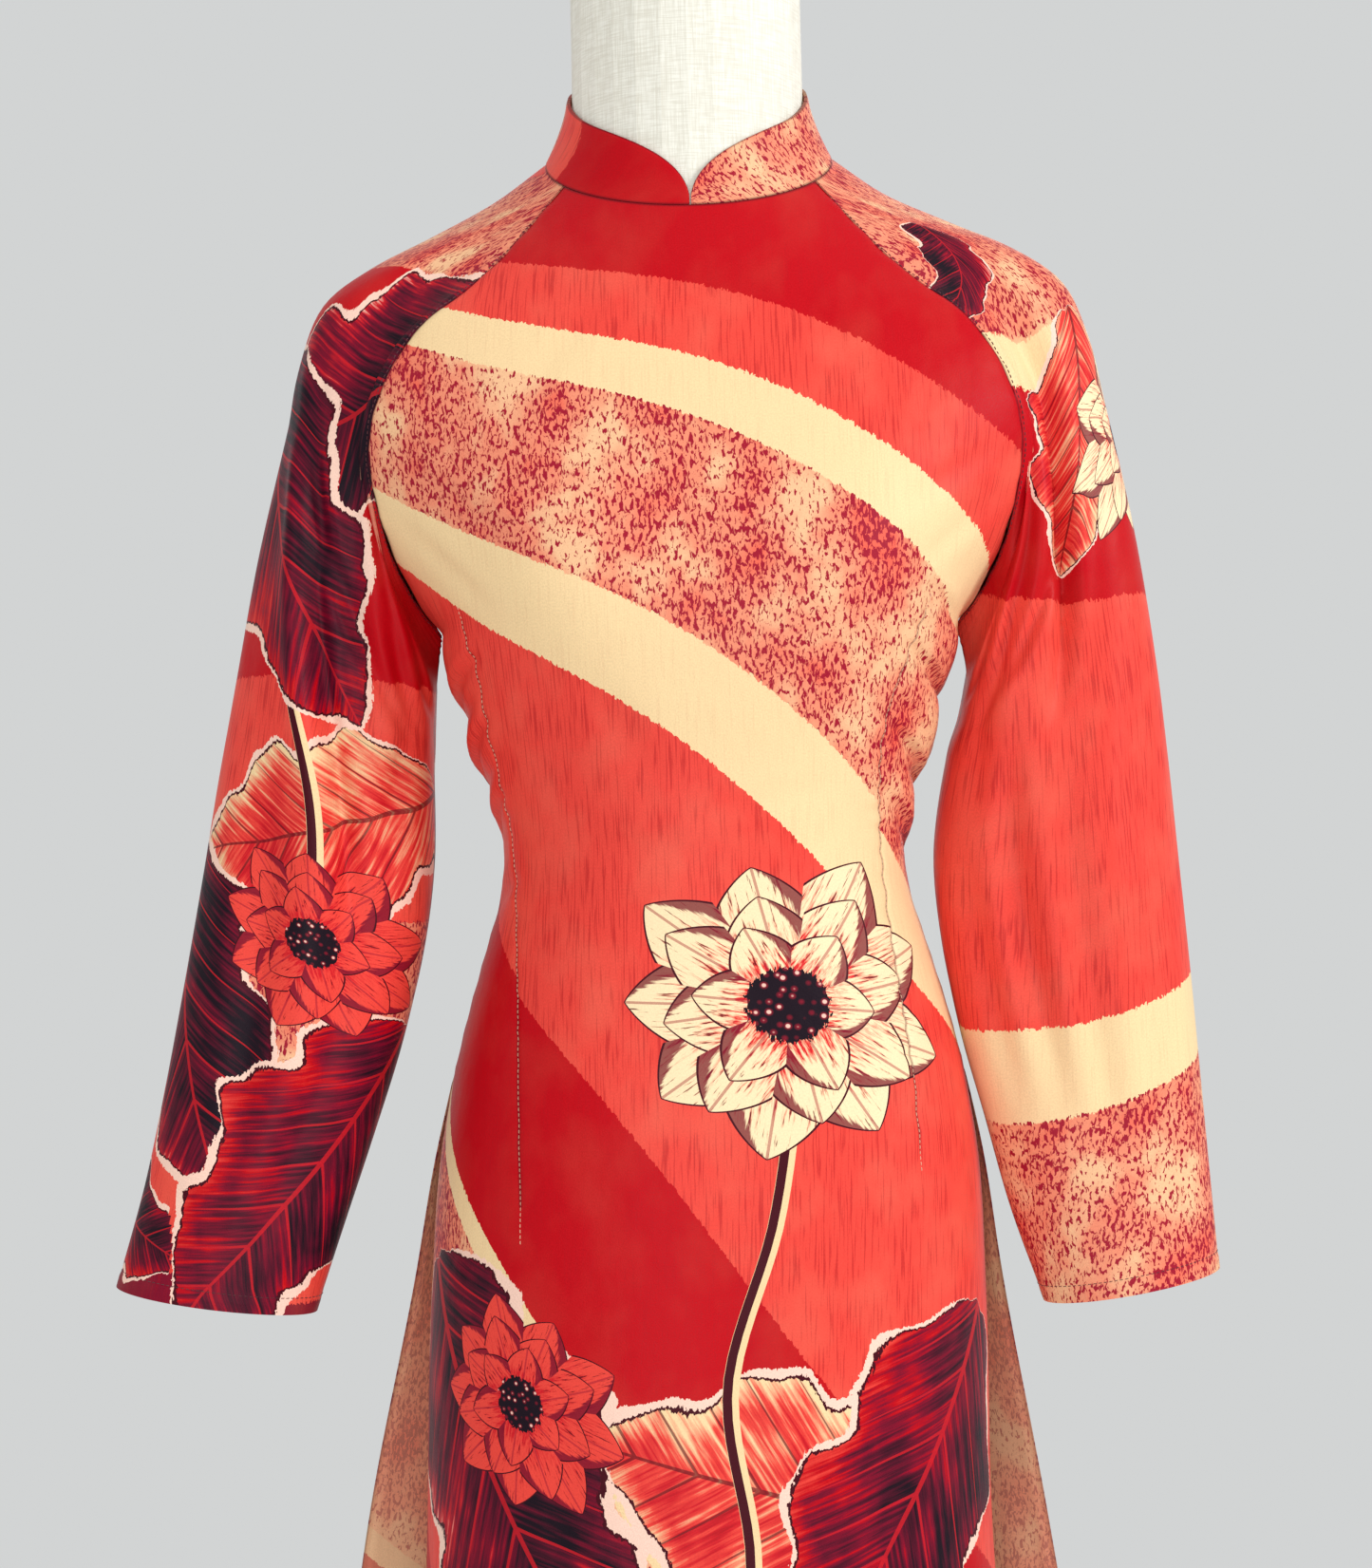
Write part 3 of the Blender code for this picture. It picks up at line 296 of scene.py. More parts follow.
def panelGrid(piece, edge, across, folds=True):
    # rows of elliptical sections between the seams, with the bust, side folds and flap waves
    arc = edge["arc"]
    turn = arc * across
    rise = (np.cos(turn) - np.cos(arc)) / (1 - np.cos(arc))
    square = 1 + edge["square"] * np.sin(math.pi * across) ** 2
    x = edge["x"] * np.sin(turn) / np.sin(arc) * square
    y = edge["y"] + (edge["middleY"] - edge["y"]) * rise * square
    z = edge["z"] + (edge["middleZ"] - edge["z"]) * rise
    outX = np.sin(turn) * np.abs(edge["middleY"] - edge["y"])
    outY = np.cos(turn) * edge["x"] * (-1 if piece["front"] else 1)
    length = np.hypot(outX, outY)
    off = np.abs(across)
    out = np.zeros_like(x)
    if piece["front"]:
        swell = ((np.abs(x) - bust["x"]) / bust["spreadX"]) ** 2 + ((z - bust["z"]) / bust["spreadZ"]) ** 2
        out += bust["out"] * np.exp(-swell) * (1 - fade(off, bust["edge"], 1.0))
    if folds:
        count, depth, shift = piece["wave"]
        hang = 1 - fade(z, waveFade["full"], waveFade["none"])
        out += depth * hang * np.sin(math.pi * count * across + shift) * (1 - waveFade["edgeLoss"] * off)
        level = z + pucker["slant"] * (off - 1)
        reach = fade(off, piece["puckerInner"], pucker["full"])
        for side, height, half, deep in puckers:
            out += deep * np.clip(1 - ((level - height) / half) ** 2, 0, 1) * reach * (np.sign(across) == side)
    x = x - sway["shift"] * (1 - fade(z, sway["full"], sway["none"]))
    return np.stack([x + out * outX / length, y + out * outY / length, z], axis=2)


def creaseDepth(u, v, creases):
    # each crease is a soft trough along a straight line, deepest at its middle
    depth = np.zeros_like(u)
    for fromU, fromV, toU, toV, deep, half in creases:
        span = math.hypot(toU - fromU, toV - fromV)
        along = ((u - fromU) * (toU - fromU) + (v - fromV) * (toV - fromV)) / span ** 2
        aside = ((u - fromU) * (toV - fromV) - (v - fromV) * (toU - fromU)) / span
        live = np.clip(4 * along * (1 - along), 0, 1) ** 0.7
        trough = np.exp(-(aside / half) ** 2) - 0.35 * np.exp(-((aside - 1.9 * half) / half) ** 2)
        depth += deep * live * trough
    return depth


# along each kind of seam: depth of its gathers, wave length, unevenness, how fast that turns, and reach
gathers = {
    "dart": (1.0, 0.013, 2.2, 60, 0.008),       # as a share of the panel's dartGather
    "panelSeam": (0.0003, 0.021, 1.5, 47, 0.010),
    "sleeveSeam": (0.0004, 0.019, 1.7, 41, 0.012),
}
# a doubled hem: where its step starts and ends, where its stitch line lies and how wide that presses in
hemFold = {
    "thick": 0.0004,
    "slit": (0.0042, 0.0055, 0.0050, 0.0012),
    "hem": (0.0175, 0.0200, 0.0185, 0.0020),
    "cuff": (0.0085, 0.0100, 0.0092, 0.0014),
    "raglanLine": 0.0019,       # stitch line of the raglan seam, from the mouth of the sleeve
}


def gathered(kind, along, away):
    # a sine of uneven wave length along a seam, which dies out as a bell across it
    depth, wave, uneven, fast, reach = gathers[kind]
    ripples = np.sin(along * 2 * math.pi / wave + uneven * np.sin(along * fast))
    return depth * np.exp(-(away / reach) ** 2) * ripples


def turnedHem(kind, away):
    # the step of a doubled hem, and the bell of the groove along its stitch line
    low, high, line, half = hemFold[kind]
    return 1 - fade(away, low, high), np.exp(-((away - line) / half) ** 2)


def panelSurface(piece):
    # the rows and columns of a panel from its seams and sections, pressed in along darts, creases and hems,
    # with u and v of the cloth from the middle line and the top, and distances to seams and free edges
    rows = np.arange(cut["hemRow"] * cut["finer"] + 1) / cut["finer"]
    rows = np.unique(np.concatenate([rows, cut["hemRow"] - np.array(cut["hemSteps"])]))
    marks = np.array([side * share for side, share, line in piece["darts"]])
    near = np.array(cut["dartSteps"])
    marked = np.concatenate([(marks[:, None] + sign * near).ravel() for sign in (-1, 1)])
    edges = 1 - np.array(cut["edgeSteps"])
    steps = np.linspace(-1, 1, int(2 * cut["panelHalf"] / cut["columnStep"]) + 1)
    clear = np.abs(steps[:, None] - marks).min(axis=1) > near[-1] + cut["dartClear"]
    steps = steps[clear & (np.abs(steps) < edges[-1] - cut["edgeClear"])]
    columns = np.unique(np.round(np.concatenate([steps, marked, edges, -edges]), 6))
    edge = panelEdges(piece, rows)
    across = slideColumns(piece, columns, edge)
    plain = panelGrid(piece, edge, across, folds=False)
    run = lengths(plain, 1)
    middle = int(np.argmin(np.abs(columns)))
    u = run - run[:, middle:middle + 1]
    v = plain[0, middle, 2] - plain[..., 2]
    grid = panelGrid(piece, edge, across)
    inward = normals(grid) * (1 if piece["front"] else -1)
    left, right = u.copy(), u.copy()      # u as the faces to the right and to the left of a column read it
    dart = np.full_like(u, 1.0)
    ripple = np.zeros_like(u)
    height = (edge["z"] + edge["middleZ"]) / 2
    place = np.arange(len(columns))
    for (side, share, line), gather in zip(piece["darts"], piece["dartGather"]):
        mark = int(np.argmin(np.abs(columns - side * share)))
        low, high = line[0][0], line[-1][0]
        live = fade(height, low, low + 0.02) * (1 - fade(height, high - 0.012, high))
        away = np.abs(u - u[:, mark:mark + 1])
        dart = np.minimum(dart, away + (1 - live) * 0.02)
        ripple += gather * live * gathered("dart", v, away)
        take = piece["dartTake"] * fade(height, low, cut["waist"]) * (1 - fade(height, cut["waist"], high))
        if side > 0:
            right += take * (place > mark)
            left += take * (place >= mark)
        else:
            right -= take * (place <= mark)
            left -= take * (place < mark)
    fromEdge = np.minimum(run, run[:, -1:] - run)
    fromHem = plain[..., 2] - cut["hem"]
    free = np.where(rows[:, None] > cut["slitRow"], fromEdge, 1.0)
    sewn = np.where(rows[:, None] > cut["slitRow"], 1.0, fromEdge)
    crease = creaseDepth(u, v, piece["creases"]) * fade(fromEdge, 0, 0.012)
    puckerSeam = gathered("panelSeam", v, sewn)
    slitStep, slitGroove = turnedHem("slit", free)
    hemStep, hemGroove = turnedHem("hem", fromHem)
    folded = hemFold["thick"] * np.maximum(slitStep, hemStep)
    groove = hemFold["thick"] * (slitGroove + hemGroove)
    dip = cut["seamDip"] * np.exp(-(sewn / cut["seamReach"]) ** 2) + 0.0008 * np.exp(-(dart / 0.0018) ** 2)
    grid = grid + inward * (crease + ripple + puckerSeam + dip - folded + groove)[..., None]
    seam = np.minimum(np.minimum(fromEdge, dart), np.abs(v - v[:1]))
    return {"grid": grid, "inward": inward, "left": left, "right": right, "v": v, "seam": seam, "run": run,
            "rows": rows, "columns": columns, "height": height, "fromHem": fromHem}


def sleeveGrid(piece, front, back, rings, folds):
    # rings from the raglan seams and neckline, blended into tilted ellipses down to the cuff;
    # a fold is a trough along a line of angles, a bell across and half a sine along
    side, finer = piece["side"], cut["finer"]
    edge = -1 if side > 0 else 0
    raglan, count = cut["raglanRows"] * finer, (2 * cut["raglanRows"] + cut["neckSteps"]) * finer
    half = cut["neckSteps"] * finer // 2
    turns = np.radians(np.linspace(cut["frontNeckAngle"], cut["backNeckAngle"], cut["neckSteps"] * finer + 1))
    neck = neckline(turns) * (side, 1, 1)
    seamFront, seamBack = front[:raglan + 1, edge], back[:raglan + 1, edge]
    mouth = np.concatenate([neck[:half][::-1], seamFront[1:], seamBack[-2::-1], neck[half:-1][::-1]])
    inward = np.zeros_like(mouth)
    inward[half - 1:half + raglan] = unit(front[:raglan + 1, edge - side] - seamFront)
    inward[half + raglan:half + 2 * raglan] = unit(back[:raglan + 1, edge - side] - seamBack)[-2::-1]
    angle = np.radians((np.arange(count) + 1) * 360 / count)
    first = cut["blendRings"]
    innerX, innerZ, outerX, outerZ, middleY, depth = readTable(piece["stations"],
                                                               np.append(rings[rings >= first], first + 1.0))
    reach = (1 + np.cos(angle)) / 2
    arm = np.stack([(innerX + (outerX - innerX) * reach) * side,
                    middleY - depth * np.sin(angle) + 0 * innerX * reach,
                    innerZ + (outerZ - innerZ) * reach], axis=2)
    start, slope = arm[0], arm[-1] - arm[0]
    arm = arm[:-1]
    chord = start - mouth
    span = np.linalg.norm(chord, axis=1, keepdims=True)
    low = fade(-np.cos(angle), 0.55, 1.0)[:, None]
    upper = fade(np.cos(angle), 0.2, 0.7)[:, None]
    down = unit(np.array([0.25 * side, 0.0, -1.0]))
    leave = unit(-inward * (1 - low) + down * low + 1e-9)
    hasSeam = (np.linalg.norm(inward, axis=1) > 0.5)[:, None]
    leave = np.where(hasSeam, unit(leave * 0.75 + unit(chord) * 0.25), unit(chord))
    # the seam's own direction turns into the shoulder's over a few points, so no step shows
    for turn in range(4 * finer * finer):
        eased = unit(np.roll(leave, 1, 0) + 2 * leave + np.roll(leave, -1, 0))
        leave = unit(leave + (eased - leave) * upper)
    leave = leave * span * 0.75
    arrive = unit(slope) * span * 0.9
    blendRings = rings[rings < first]
    t = (blendRings / first)[:, None, None]
    blended = (mouth * (1 + 2 * t) * (1 - t) ** 2 + leave * t * (1 - t) ** 2
               + start * t * t * (3 - 2 * t) + arrive * t * t * (t - 1))
    outlineX, outlineZ = readTable(piece["shoulder"], blendRings)
    top = count - 1
    target = np.stack([outlineX[:, 0] * side, blended[:, top, 1], outlineZ[:, 0]], axis=1)
    weight = fade(np.cos(angle), -0.15, 1.0)[None, :, None]
    lift = (target - blended[:, top])[:, None] * weight
    lift[0] = 0
    grid = np.concatenate([blended + lift, arm])
    degrees = np.degrees(angle)[None, :]
    ring = rings[:, None]
    middle = (grid.min(axis=1, keepdims=True) + grid.max(axis=1, keepdims=True)) / 2
    outward = unit(grid - middle)
    for ringA, angleA, ringB, angleB, deep, wide in folds:
        share = np.clip((ring - ringA) / (ringB - ringA), 0, 1)
        centre = angleA + (angleB - angleA) * share
        trough = np.exp(-((degrees - centre) / wide) ** 2)
        trough = trough - 0.4 * np.exp(-((degrees - centre + 2.1 * wide) / wide) ** 2)
        grid = grid - outward * (trough * np.sin(math.pi * share) * deep)[..., None]
    return grid


# an upright section of an arm: half its width, and half its depth at two heights
armSection = {"halfWidth": 0.054, "heights": (0.80, 1.15), "halfDepths": (0.030, 0.056)}


def sleeveSurface(piece, front, back):
    # a sleeve's rings. On the cloth v is the distance from the neck side as the front shows it, and u the angle
    # round an upright section of the arm, from its outside, times the section's mean radius
    rings = np.arange(cut["cuffRing"] * cut["finer"] + 1) / cut["finer"]
    rings = np.unique(np.concatenate([rings, [0.03, 0.08], cut["cuffRing"] - np.array(cut["cuffSteps"])]))
    grid = sleeveGrid(piece, front, back, rings, piece["folds"] + piece["creases"])
    inward = -normals(grid, cyclic=True) * piece["side"]
    closed = np.concatenate([grid, grid[:, :1]], axis=1)
    run = lengths(closed, 1)
    underarm = grid.shape[1] // 2 - 1
    plain = sleeveGrid(piece, front, back, rings, [])
    x, y, z = np.abs(plain[..., 0]), plain[..., 1], plain[..., 2]
    outside = plain[::-1, -1]
    wide, deep = armSection["halfWidth"], np.interp(z, armSection["heights"], armSection["halfDepths"])
    outer, middle = np.interp(z, outside[:, 2], np.abs(outside[:, 0])), np.interp(z, outside[:, 2],
                                                                                  outside[:, 1])
    turn = np.arctan2((middle - y) / deep, (x - outer + wide) / wide) * np.hypot(wide, deep) / math.sqrt(2)
    v = np.hypot(x - cut["neckHalfWidth"], cut["neckSide"] - z)
    turn, v = [np.concatenate([table, table[:, :1]], axis=1) for table in (turn, v)]
    place = np.arange(grid.shape[1] + 1)[None, :]
    behind = np.where(place < grid.shape[1], -np.abs(turn), turn)
    right = np.where(place <= underarm, np.abs(turn), behind)
    left = np.where(place < underarm, np.abs(turn), behind)
    fromMouth = lengths(closed, 0)
    fromCuff = fromMouth[-1:] - fromMouth
    fromUnderarm = np.abs(run - run[:, underarm:underarm + 1])
    step, groove = turnedHem("cuff", fromCuff)
    half = cut["neckSteps"] * cut["finer"] // 2
    seamed = fade(np.minimum(place - half, grid.shape[1] - half - place), -1, 6)    # none along the neckline
    dip = cut["seamDip"] * np.exp(-(fromMouth / cut["seamReach"]) ** 2)
    dip = (dip + gathered("sleeveSeam", run, fromMouth)) * seamed
    grid = grid + inward * (dip + hemFold["thick"] * (groove - step))[:, :-1, None]
    return {"grid": grid, "inward": inward, "left": left, "right": right, "v": v, "fromCuff": fromCuff,
            "fromMouth": fromMouth, "seam": np.minimum(fromMouth, fromUnderarm)}


collar = {
    "height": 0.0345,
    "topHalfWidth": 0.0655,
    "topHalfDepth": 0.0585,
    "cornerAngle": 50.0,        # how far from the centre front its height starts to run out
    "cornerPower": 2.3,
    "columns": 118,
    "ups": (0, 0.02, 0.05, 0.1, 0.2, 0.32, 0.45, 0.58, 0.7, 0.8, 0.88, 0.93, 0.96, 0.98, 1.0),
}


def collarSurface():
    # a band that leans in to the neck, with its height run out to the centre front in a round corner
    corner, power, height = collar["cornerAngle"], collar["cornerPower"], collar["height"]
    half = np.concatenate([[0.35, 0.8, 1.4, 2.2, 3.2], np.linspace(4.5, 180, collar["columns"])])
    around = np.concatenate([half, 360 - half[-2::-1]])
    turn = np.radians(around)
    fromFront = np.minimum(around, 360 - around)
    tall = height * (1 - np.clip(1 - fromFront / corner, 0, 1) ** power) ** (1 / power)
    low = neckline(turn)
    low[:, 2] += 0.0003
    lean = np.stack([(collar["topHalfWidth"] - cut["neckHalfWidth"]) * np.sin(turn),
                     (cut["neckHalfDepth"] - collar["topHalfDepth"]) * np.cos(turn),
                     np.full_like(turn, height)], axis=1)
    up = np.array(collar["ups"])[:, None] * tall / height
    grid = low[None] + lean[None] * up[..., None]
    grid[..., :2] = low[None, :, :2] + lean[None, :, :2] * (1 - (1 - up) ** 1.5)[..., None]
    inward = -normals(grid)
    u = lengths(grid, 1)
    u = u - u[:, -1:] / 2
    v = tall - up * height
    grid = grid + inward * (0.0005 * np.exp(-(v / 0.0012) ** 2))[..., None]
    return {"grid": grid, "inward": inward, "left": u, "right": u, "v": v, "seam": np.minimum(v, up * height)}


# The print of each piece in metres of its cloth: u runs across from the middle, v down from the neck.
# bands: tilt in degrees, wave height, wave count, wave shift, spread, and where each ink begins.
# flowers: u, v, radius, turn and tone, 0 for cream petals and 1 for coral ones.
# leaves: u and v of the stalk end, length, turn and tone. stems: points from the top down.
prints = {
    "frontPanel": {
        "bands": (-17, 0.014, 15.0, 0.6, 1.4,
                  [(-0.3, "crimson"), (0.046, "coral"), (0.084, "peach"), (0.116, "speckled"), (0.226, "peach"),
                   (0.280, "coral"), (0.500, "crimson"), (0.662, "peach"), (0.690, "speckled"),
                   (0.850, "coral"),
                   (0.980, "crimson"), (1.100, "peach"), (1.130, "speckled"), (1.230, "crimson")]),
        "flowers": [(0.042, 0.412, 0.100, 12, 0.0), (-0.098, 0.612, 0.064, 50, 1.0),
                    (0.098, 0.800, 0.078, 30, 0.0),
                    (-0.070, 1.010, 0.088, 5, 0.0), (0.110, 1.180, 0.070, 40, 1.0)],
        "leafUnder": [(0.155, 0.690, 0.230, 196, 0.2), (-0.130, 0.900, 0.230, 12, 0.6),
                      (0.160, 1.060, 0.220, 168, 0.9)],
        "leafOver": [(-0.175, 0.545, 0.260, 60, 0.1), (0.140, 0.880, 0.240, 150, 0.5),
                     (-0.160, 1.090, 0.220, 25, 0.8)],
        "leafTop": [(0.168, 0.575, 0.240, 122, 0.4), (-0.150, 0.800, 0.230, 52, 0.7),
                    (0.060, 1.060, 0.210, 118, 0.3)],
        "stems": [[(0.046, 0.440), (0.034, 0.520), (0.012, 0.600), (0.024, 0.690), (0.020, 0.740)],
                  [(0.098, 0.820), (0.090, 0.900), (0.110, 0.990), (0.100, 1.080)]],
    },
    "backPanel": {
        "bands": (15, 0.018, 13.0, 2.0, 1.1,
                  [(-0.3, "speckled"), (0.080, "peach"), (0.110, "coral"), (0.250, "crimson"), (0.370, "peach"),
                   (0.410, "speckled"), (0.880, "peach"), (0.910, "crimson"), (0.970, "coral"),
                   (1.040, "peach"), (1.070, "speckled"), (1.190, "coral"), (1.250, "crimson")]),
        "flowers": [(-0.060, 0.300, 0.092, 30, 0.0), (0.060, 0.700, 0.092, 10, 1.0),
                    (-0.130, 1.000, 0.088, 45, 0.0)],
        "leafUnder": [(-0.070, 0.430, 0.220, 60, 0.3), (0.200, 0.860, 0.230, 150, 0.7),
                      (-0.190, 1.130, 0.220, 10, 0.5)],
        "leafOver": [(0.140, 0.130, 0.210, 160, 0.1), (-0.120, 0.550, 0.220, 35, 0.5),
                     (0.190, 0.960, 0.240, 140, 0.9)],
        "leafTop": [(0.130, 0.400, 0.230, 125, 0.6), (-0.200, 0.870, 0.220, 40, 0.2),
                    (0.060, 1.100, 0.210, 60, 0.4)],
        "stems": [[(-0.060, 0.330), (-0.050, 0.430), (-0.080, 0.540), (-0.060, 0.640)],
                  [(0.060, 0.740), (0.085, 0.850), (0.070, 0.980), (0.090, 1.090)]],
    },
    "sleeveRight": {
        "bands": (20, 0.012, 16.0, 1.2, 0.8,
                  [(-0.3, "coral"), (0.020, "speckled"), (0.110, "crimson"), (0.300, "coral"),
                   (0.400, "speckled"),
                   (0.470, "coral"), (0.560, "wine"), (0.640, "crimson")]),
        "flowers": [(0.092, 0.435, 0.062, 18, 1.0), (-0.070, 0.250, 0.060, 40, 1.0)],
        "leafUnder": [(0.165, 0.345, 0.170, 156, 0.2), (-0.090, 0.420, 0.180, 70, 0.6)],
        "leafOver": [(0.150, 0.085, 0.200, 132, 0.1), (-0.030, 0.400, 0.210, 62, 0.5),
                     (-0.120, 0.080, 0.200, 80, 0.9),
                     (-0.110, 0.560, 0.140, 40, 0.3)],
        "leafTop": [(-0.035, 0.165, 0.215, 47, 0.4), (0.150, 0.470, 0.200, 118, 0.7),
                    (-0.130, 0.300, 0.190, 84, 0.2),
                    (-0.055, 0.600, 0.115, 8, 0.8)],
        "stems": [[(0.060, 0.300), (0.085, 0.360), (0.092, 0.430)]],
    },
    "sleeveLeft": {
        "bands": (22, 0.012, 15.0, 0.4, 0.9,
                  [(-0.3, "speckled"), (0.150, "peach"), (0.176, "crimson"), (0.262, "coral"), (0.430, "peach"),
                   (0.468, "speckled"), (0.590, "peach"), (0.622, "coral"), (0.660, "crimson")]),
        "flowers": [(0.012, 0.215, 0.056, 35, 0.0), (-0.080, 0.520, 0.060, 15, 1.0)],
        "leafUnder": [(0.030, 0.150, 0.120, 65, 0.4)],
        "leafOver": [(-0.080, 0.120, 0.150, 70, 0.2), (0.050, 0.060, 0.090, 40, 0.6)],
        "leafTop": [(-0.120, 0.330, 0.180, 60, 0.5)],
        "stems": [[(0.004, 0.130), (0.002, 0.170), (0.012, 0.210)]],
    },
    "collarBand": {
        "bands": (90, 0.004, 60.0, 0.0, 0.0,
                  [(-0.3, "speckled"), (-0.010, "coral"), (0.060, "speckled"), (0.100, "coral"),
                   (0.135, "crimson")]),
        "flowers": [], "leafUnder": [], "leafOver": [], "leafTop": [], "stems": [],
    },
}
leafShape = {"full": 0.68, "start": 0.55, "end": 0.80, "lobes": 0.13, "notches": 0.05}
flowerSlant = 1.22      # flowers are drawn a little from the side


def motifFrame(u, v, marks, middle):
    # x and y in the frame of the motif whose middle is nearest to each face, in units of its size, and its tone
    far = 9.0       # outside any motif
    found = np.full(u.shape + (3,), far)
    nearest = np.full((len(u), 1), far)
    for markU, markV, size, turn, tone in marks:
        turn = math.radians(turn)
        x = ((u - markU) * math.cos(turn) + (v - markV) * math.sin(turn)) / size
        y = ((v - markV) * math.cos(turn) - (u - markU) * math.sin(turn)) / size
        gate = np.hypot(x.mean(axis=1) - middle, y.mean(axis=1))[:, None]
        closer = gate < nearest
        nearest = np.where(closer, gate, nearest)
        found = np.where(closer[..., None], np.stack([x, y, np.full_like(x, tone)], axis=-1), found)
    return found


def leafField(u, v, marks):
    # x along the midrib, y across it, and half the width: full x^start (1-x)^end with lobes and notches
    field = motifFrame(u, v, marks, 0.5)
    x, tone = np.clip(field[..., 0], 0, 1), field[..., 2]
    half = leafShape["full"] * x ** leafShape["start"] * (1 - x) ** leafShape["end"]
    phase = 7 * tone + np.sign(field[..., 1])
    lobes = 1 + leafShape["lobes"] * np.sin(19 * x + phase) + leafShape["notches"] * np.sin(47 * x + 3 * phase)
    field[..., 2] = np.where((field[..., 0] > 0) & (field[..., 0] < 1), half * lobes, -0.06)
    return field


def printFields(name, u, v):
    # all that the print's material reads on each corner of the mesh
    layout = prints[name]
    tilt, wave, count, shift, spread, inks = layout["bands"]
    tilt = math.radians(tilt)
    along, aside = v * math.cos(tilt) + u * math.sin(tilt), u * math.cos(tilt) - v * math.sin(tilt)
    band = (along + wave * np.sin(count * aside + shift)) / (1 + spread * u)
    stem = np.full(u.shape, 1.0)
    for points in layout["stems"]:
        points = np.array(points)
        aside = u - smoothCurve(points[:, 1], points[:, 0], v)
        middle = v.mean(axis=1, keepdims=True)
        nearer = np.abs(aside).mean(axis=1, keepdims=True) < np.abs(stem).mean(axis=1, keepdims=True)
        stem = np.where((middle > points[0, 1]) & (middle < points[-1, 1]) & nearer, aside, stem)
    flower = motifFrame(u, v, layout["flowers"], 0.0)
    flower[..., 1] *= flowerSlant
    return {"flower": flower, "leafUnder": leafField(u, v, layout["leafUnder"]),
            "leafOver": leafField(u, v, layout["leafOver"]), "leafTop": leafField(u, v, layout["leafTop"]),
            "ground": np.stack([band, stem, 0 * band], axis=-1)}


def corners(leftTable, rightTable):
    # the values of each face's four corners: left top, left foot, right foot and right top
    return np.stack([leftTable[:-1, :-1], leftTable[1:, :-1], rightTable[1:, 1:], rightTable[:-1, 1:]],
                    axis=2).reshape(-1, 4)


def shell(name, node, surface, thickness, finish):
    # a closed thin wall: the outer grid, the same grid one thickness inwards, and a rim along each border
    outer = surface["grid"]
    inner = outer + surface["inward"] * thickness
    rows, columns = outer.shape[:2]
    count = rows * columns
    index = np.arange(count).reshape(rows, columns)
    cyclic = surface["left"].shape[1] > columns
    if cyclic:
        index = np.concatenate([index, index[:, :1]], axis=1)
    tables = [(index, index), (surface["left"], surface["right"]), (surface["v"], surface["v"]),
              (surface["seam"], surface["seam"])]
    skin = [corners(*pair) for pair in tables]
    outerFaces = len(skin[0])
    parts = [[values, values[:, ::-1]] for values in skin]
    for values, (leftTable, table) in zip(parts, tables):
        borders = [table[0], table[-1][::-1]] if cyclic else [table[0], table[-1][::-1], table[:, -1],
                                                              table[::-1, 0]]
        values.extend(np.stack([line[:-1], line[1:], line[1:], line[:-1]], axis=1) for line in borders)
    faces, cornerU, cornerV, seam = [np.concatenate(values) for values in parts]
    faces[outerFaces:2 * outerFaces] += count
    faces[2 * outerFaces:, 2:] += count
    points = np.concatenate([outer.reshape(-1, 3), inner.reshape(-1, 3)])
    a, b, c, d = (points[faces[:, n]] for n in range(4))
    volume = np.sum(np.cross(b - a, c - a) * a) + np.sum(np.cross(c - a, d - a) * a)
    if volume < 0:
        faces, cornerU, cornerV, seam = (values[:, ::-1] for values in (faces, cornerU, cornerV, seam))
    inside = np.zeros_like(seam)
    inside[outerFaces:2 * outerFaces] = 1.0
    fields = printFields(name, cornerU, cornerV)
    fields["edge"] = np.stack([seam, inside, 0 * seam], axis=-1)
    mesh = bpy.data.meshes.new(name)
    mesh.from_pydata(points.tolist(), [], faces.tolist())
    layer = mesh.uv_layers.new(name="cloth")
    layer.data.foreach_set("uv", np.stack([cornerU, cornerV], axis=-1).astype(np.float32).ravel())
    for field, values in fields.items():
        made = mesh.attributes.new(field, "FLOAT_VECTOR", "CORNER")
        made.data.foreach_set("vector", values.astype(np.float32).ravel())
    made = placed(name, mesh, finish, 55)
    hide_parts(node)
    area = (np.linalg.norm(np.cross(b - a, c - a), axis=1) + np.linalg.norm(np.cross(c - a, d - a), axis=1)) / 2
    print("made", name, "with", len(faces), "faces and", round(float(area[:outerFaces].sum()), 4),
          "square metres")
    return made


def placed(name, mesh, finish, sharp):
    # puts a mesh in the scene as a piece of the garment
    mesh.shade_smooth()
    mesh.set_sharp_from_angle(angle=math.radians(sharp))
    mesh.materials.append(finish)
    made = bpy.data.objects.new(name, mesh)
    bpy.context.scene.collection.objects.link(made)
    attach(made, "root")
    return made


thread = {"pitch": 0.0028, "length": 0.0021, "width": 0.00042, "height": 0.00034, "sunk": 0.0001}


def lineAt(grid, inward, distance, target):
    # on each column, the point where a distance that grows or shrinks down the rows passes a value
    side = np.sign(distance[-1] - distance[0])
    at = np.argmax((distance - target) * side > 0, axis=0)
    column = np.arange(distance.shape[1])
    share = ((target - distance[at - 1, column]) / (distance[at, column] - distance[at - 1, column]))[:, None]
    return grid[at - 1, column] * (1 - share) + grid[at, column] * share, -inward[at, column]


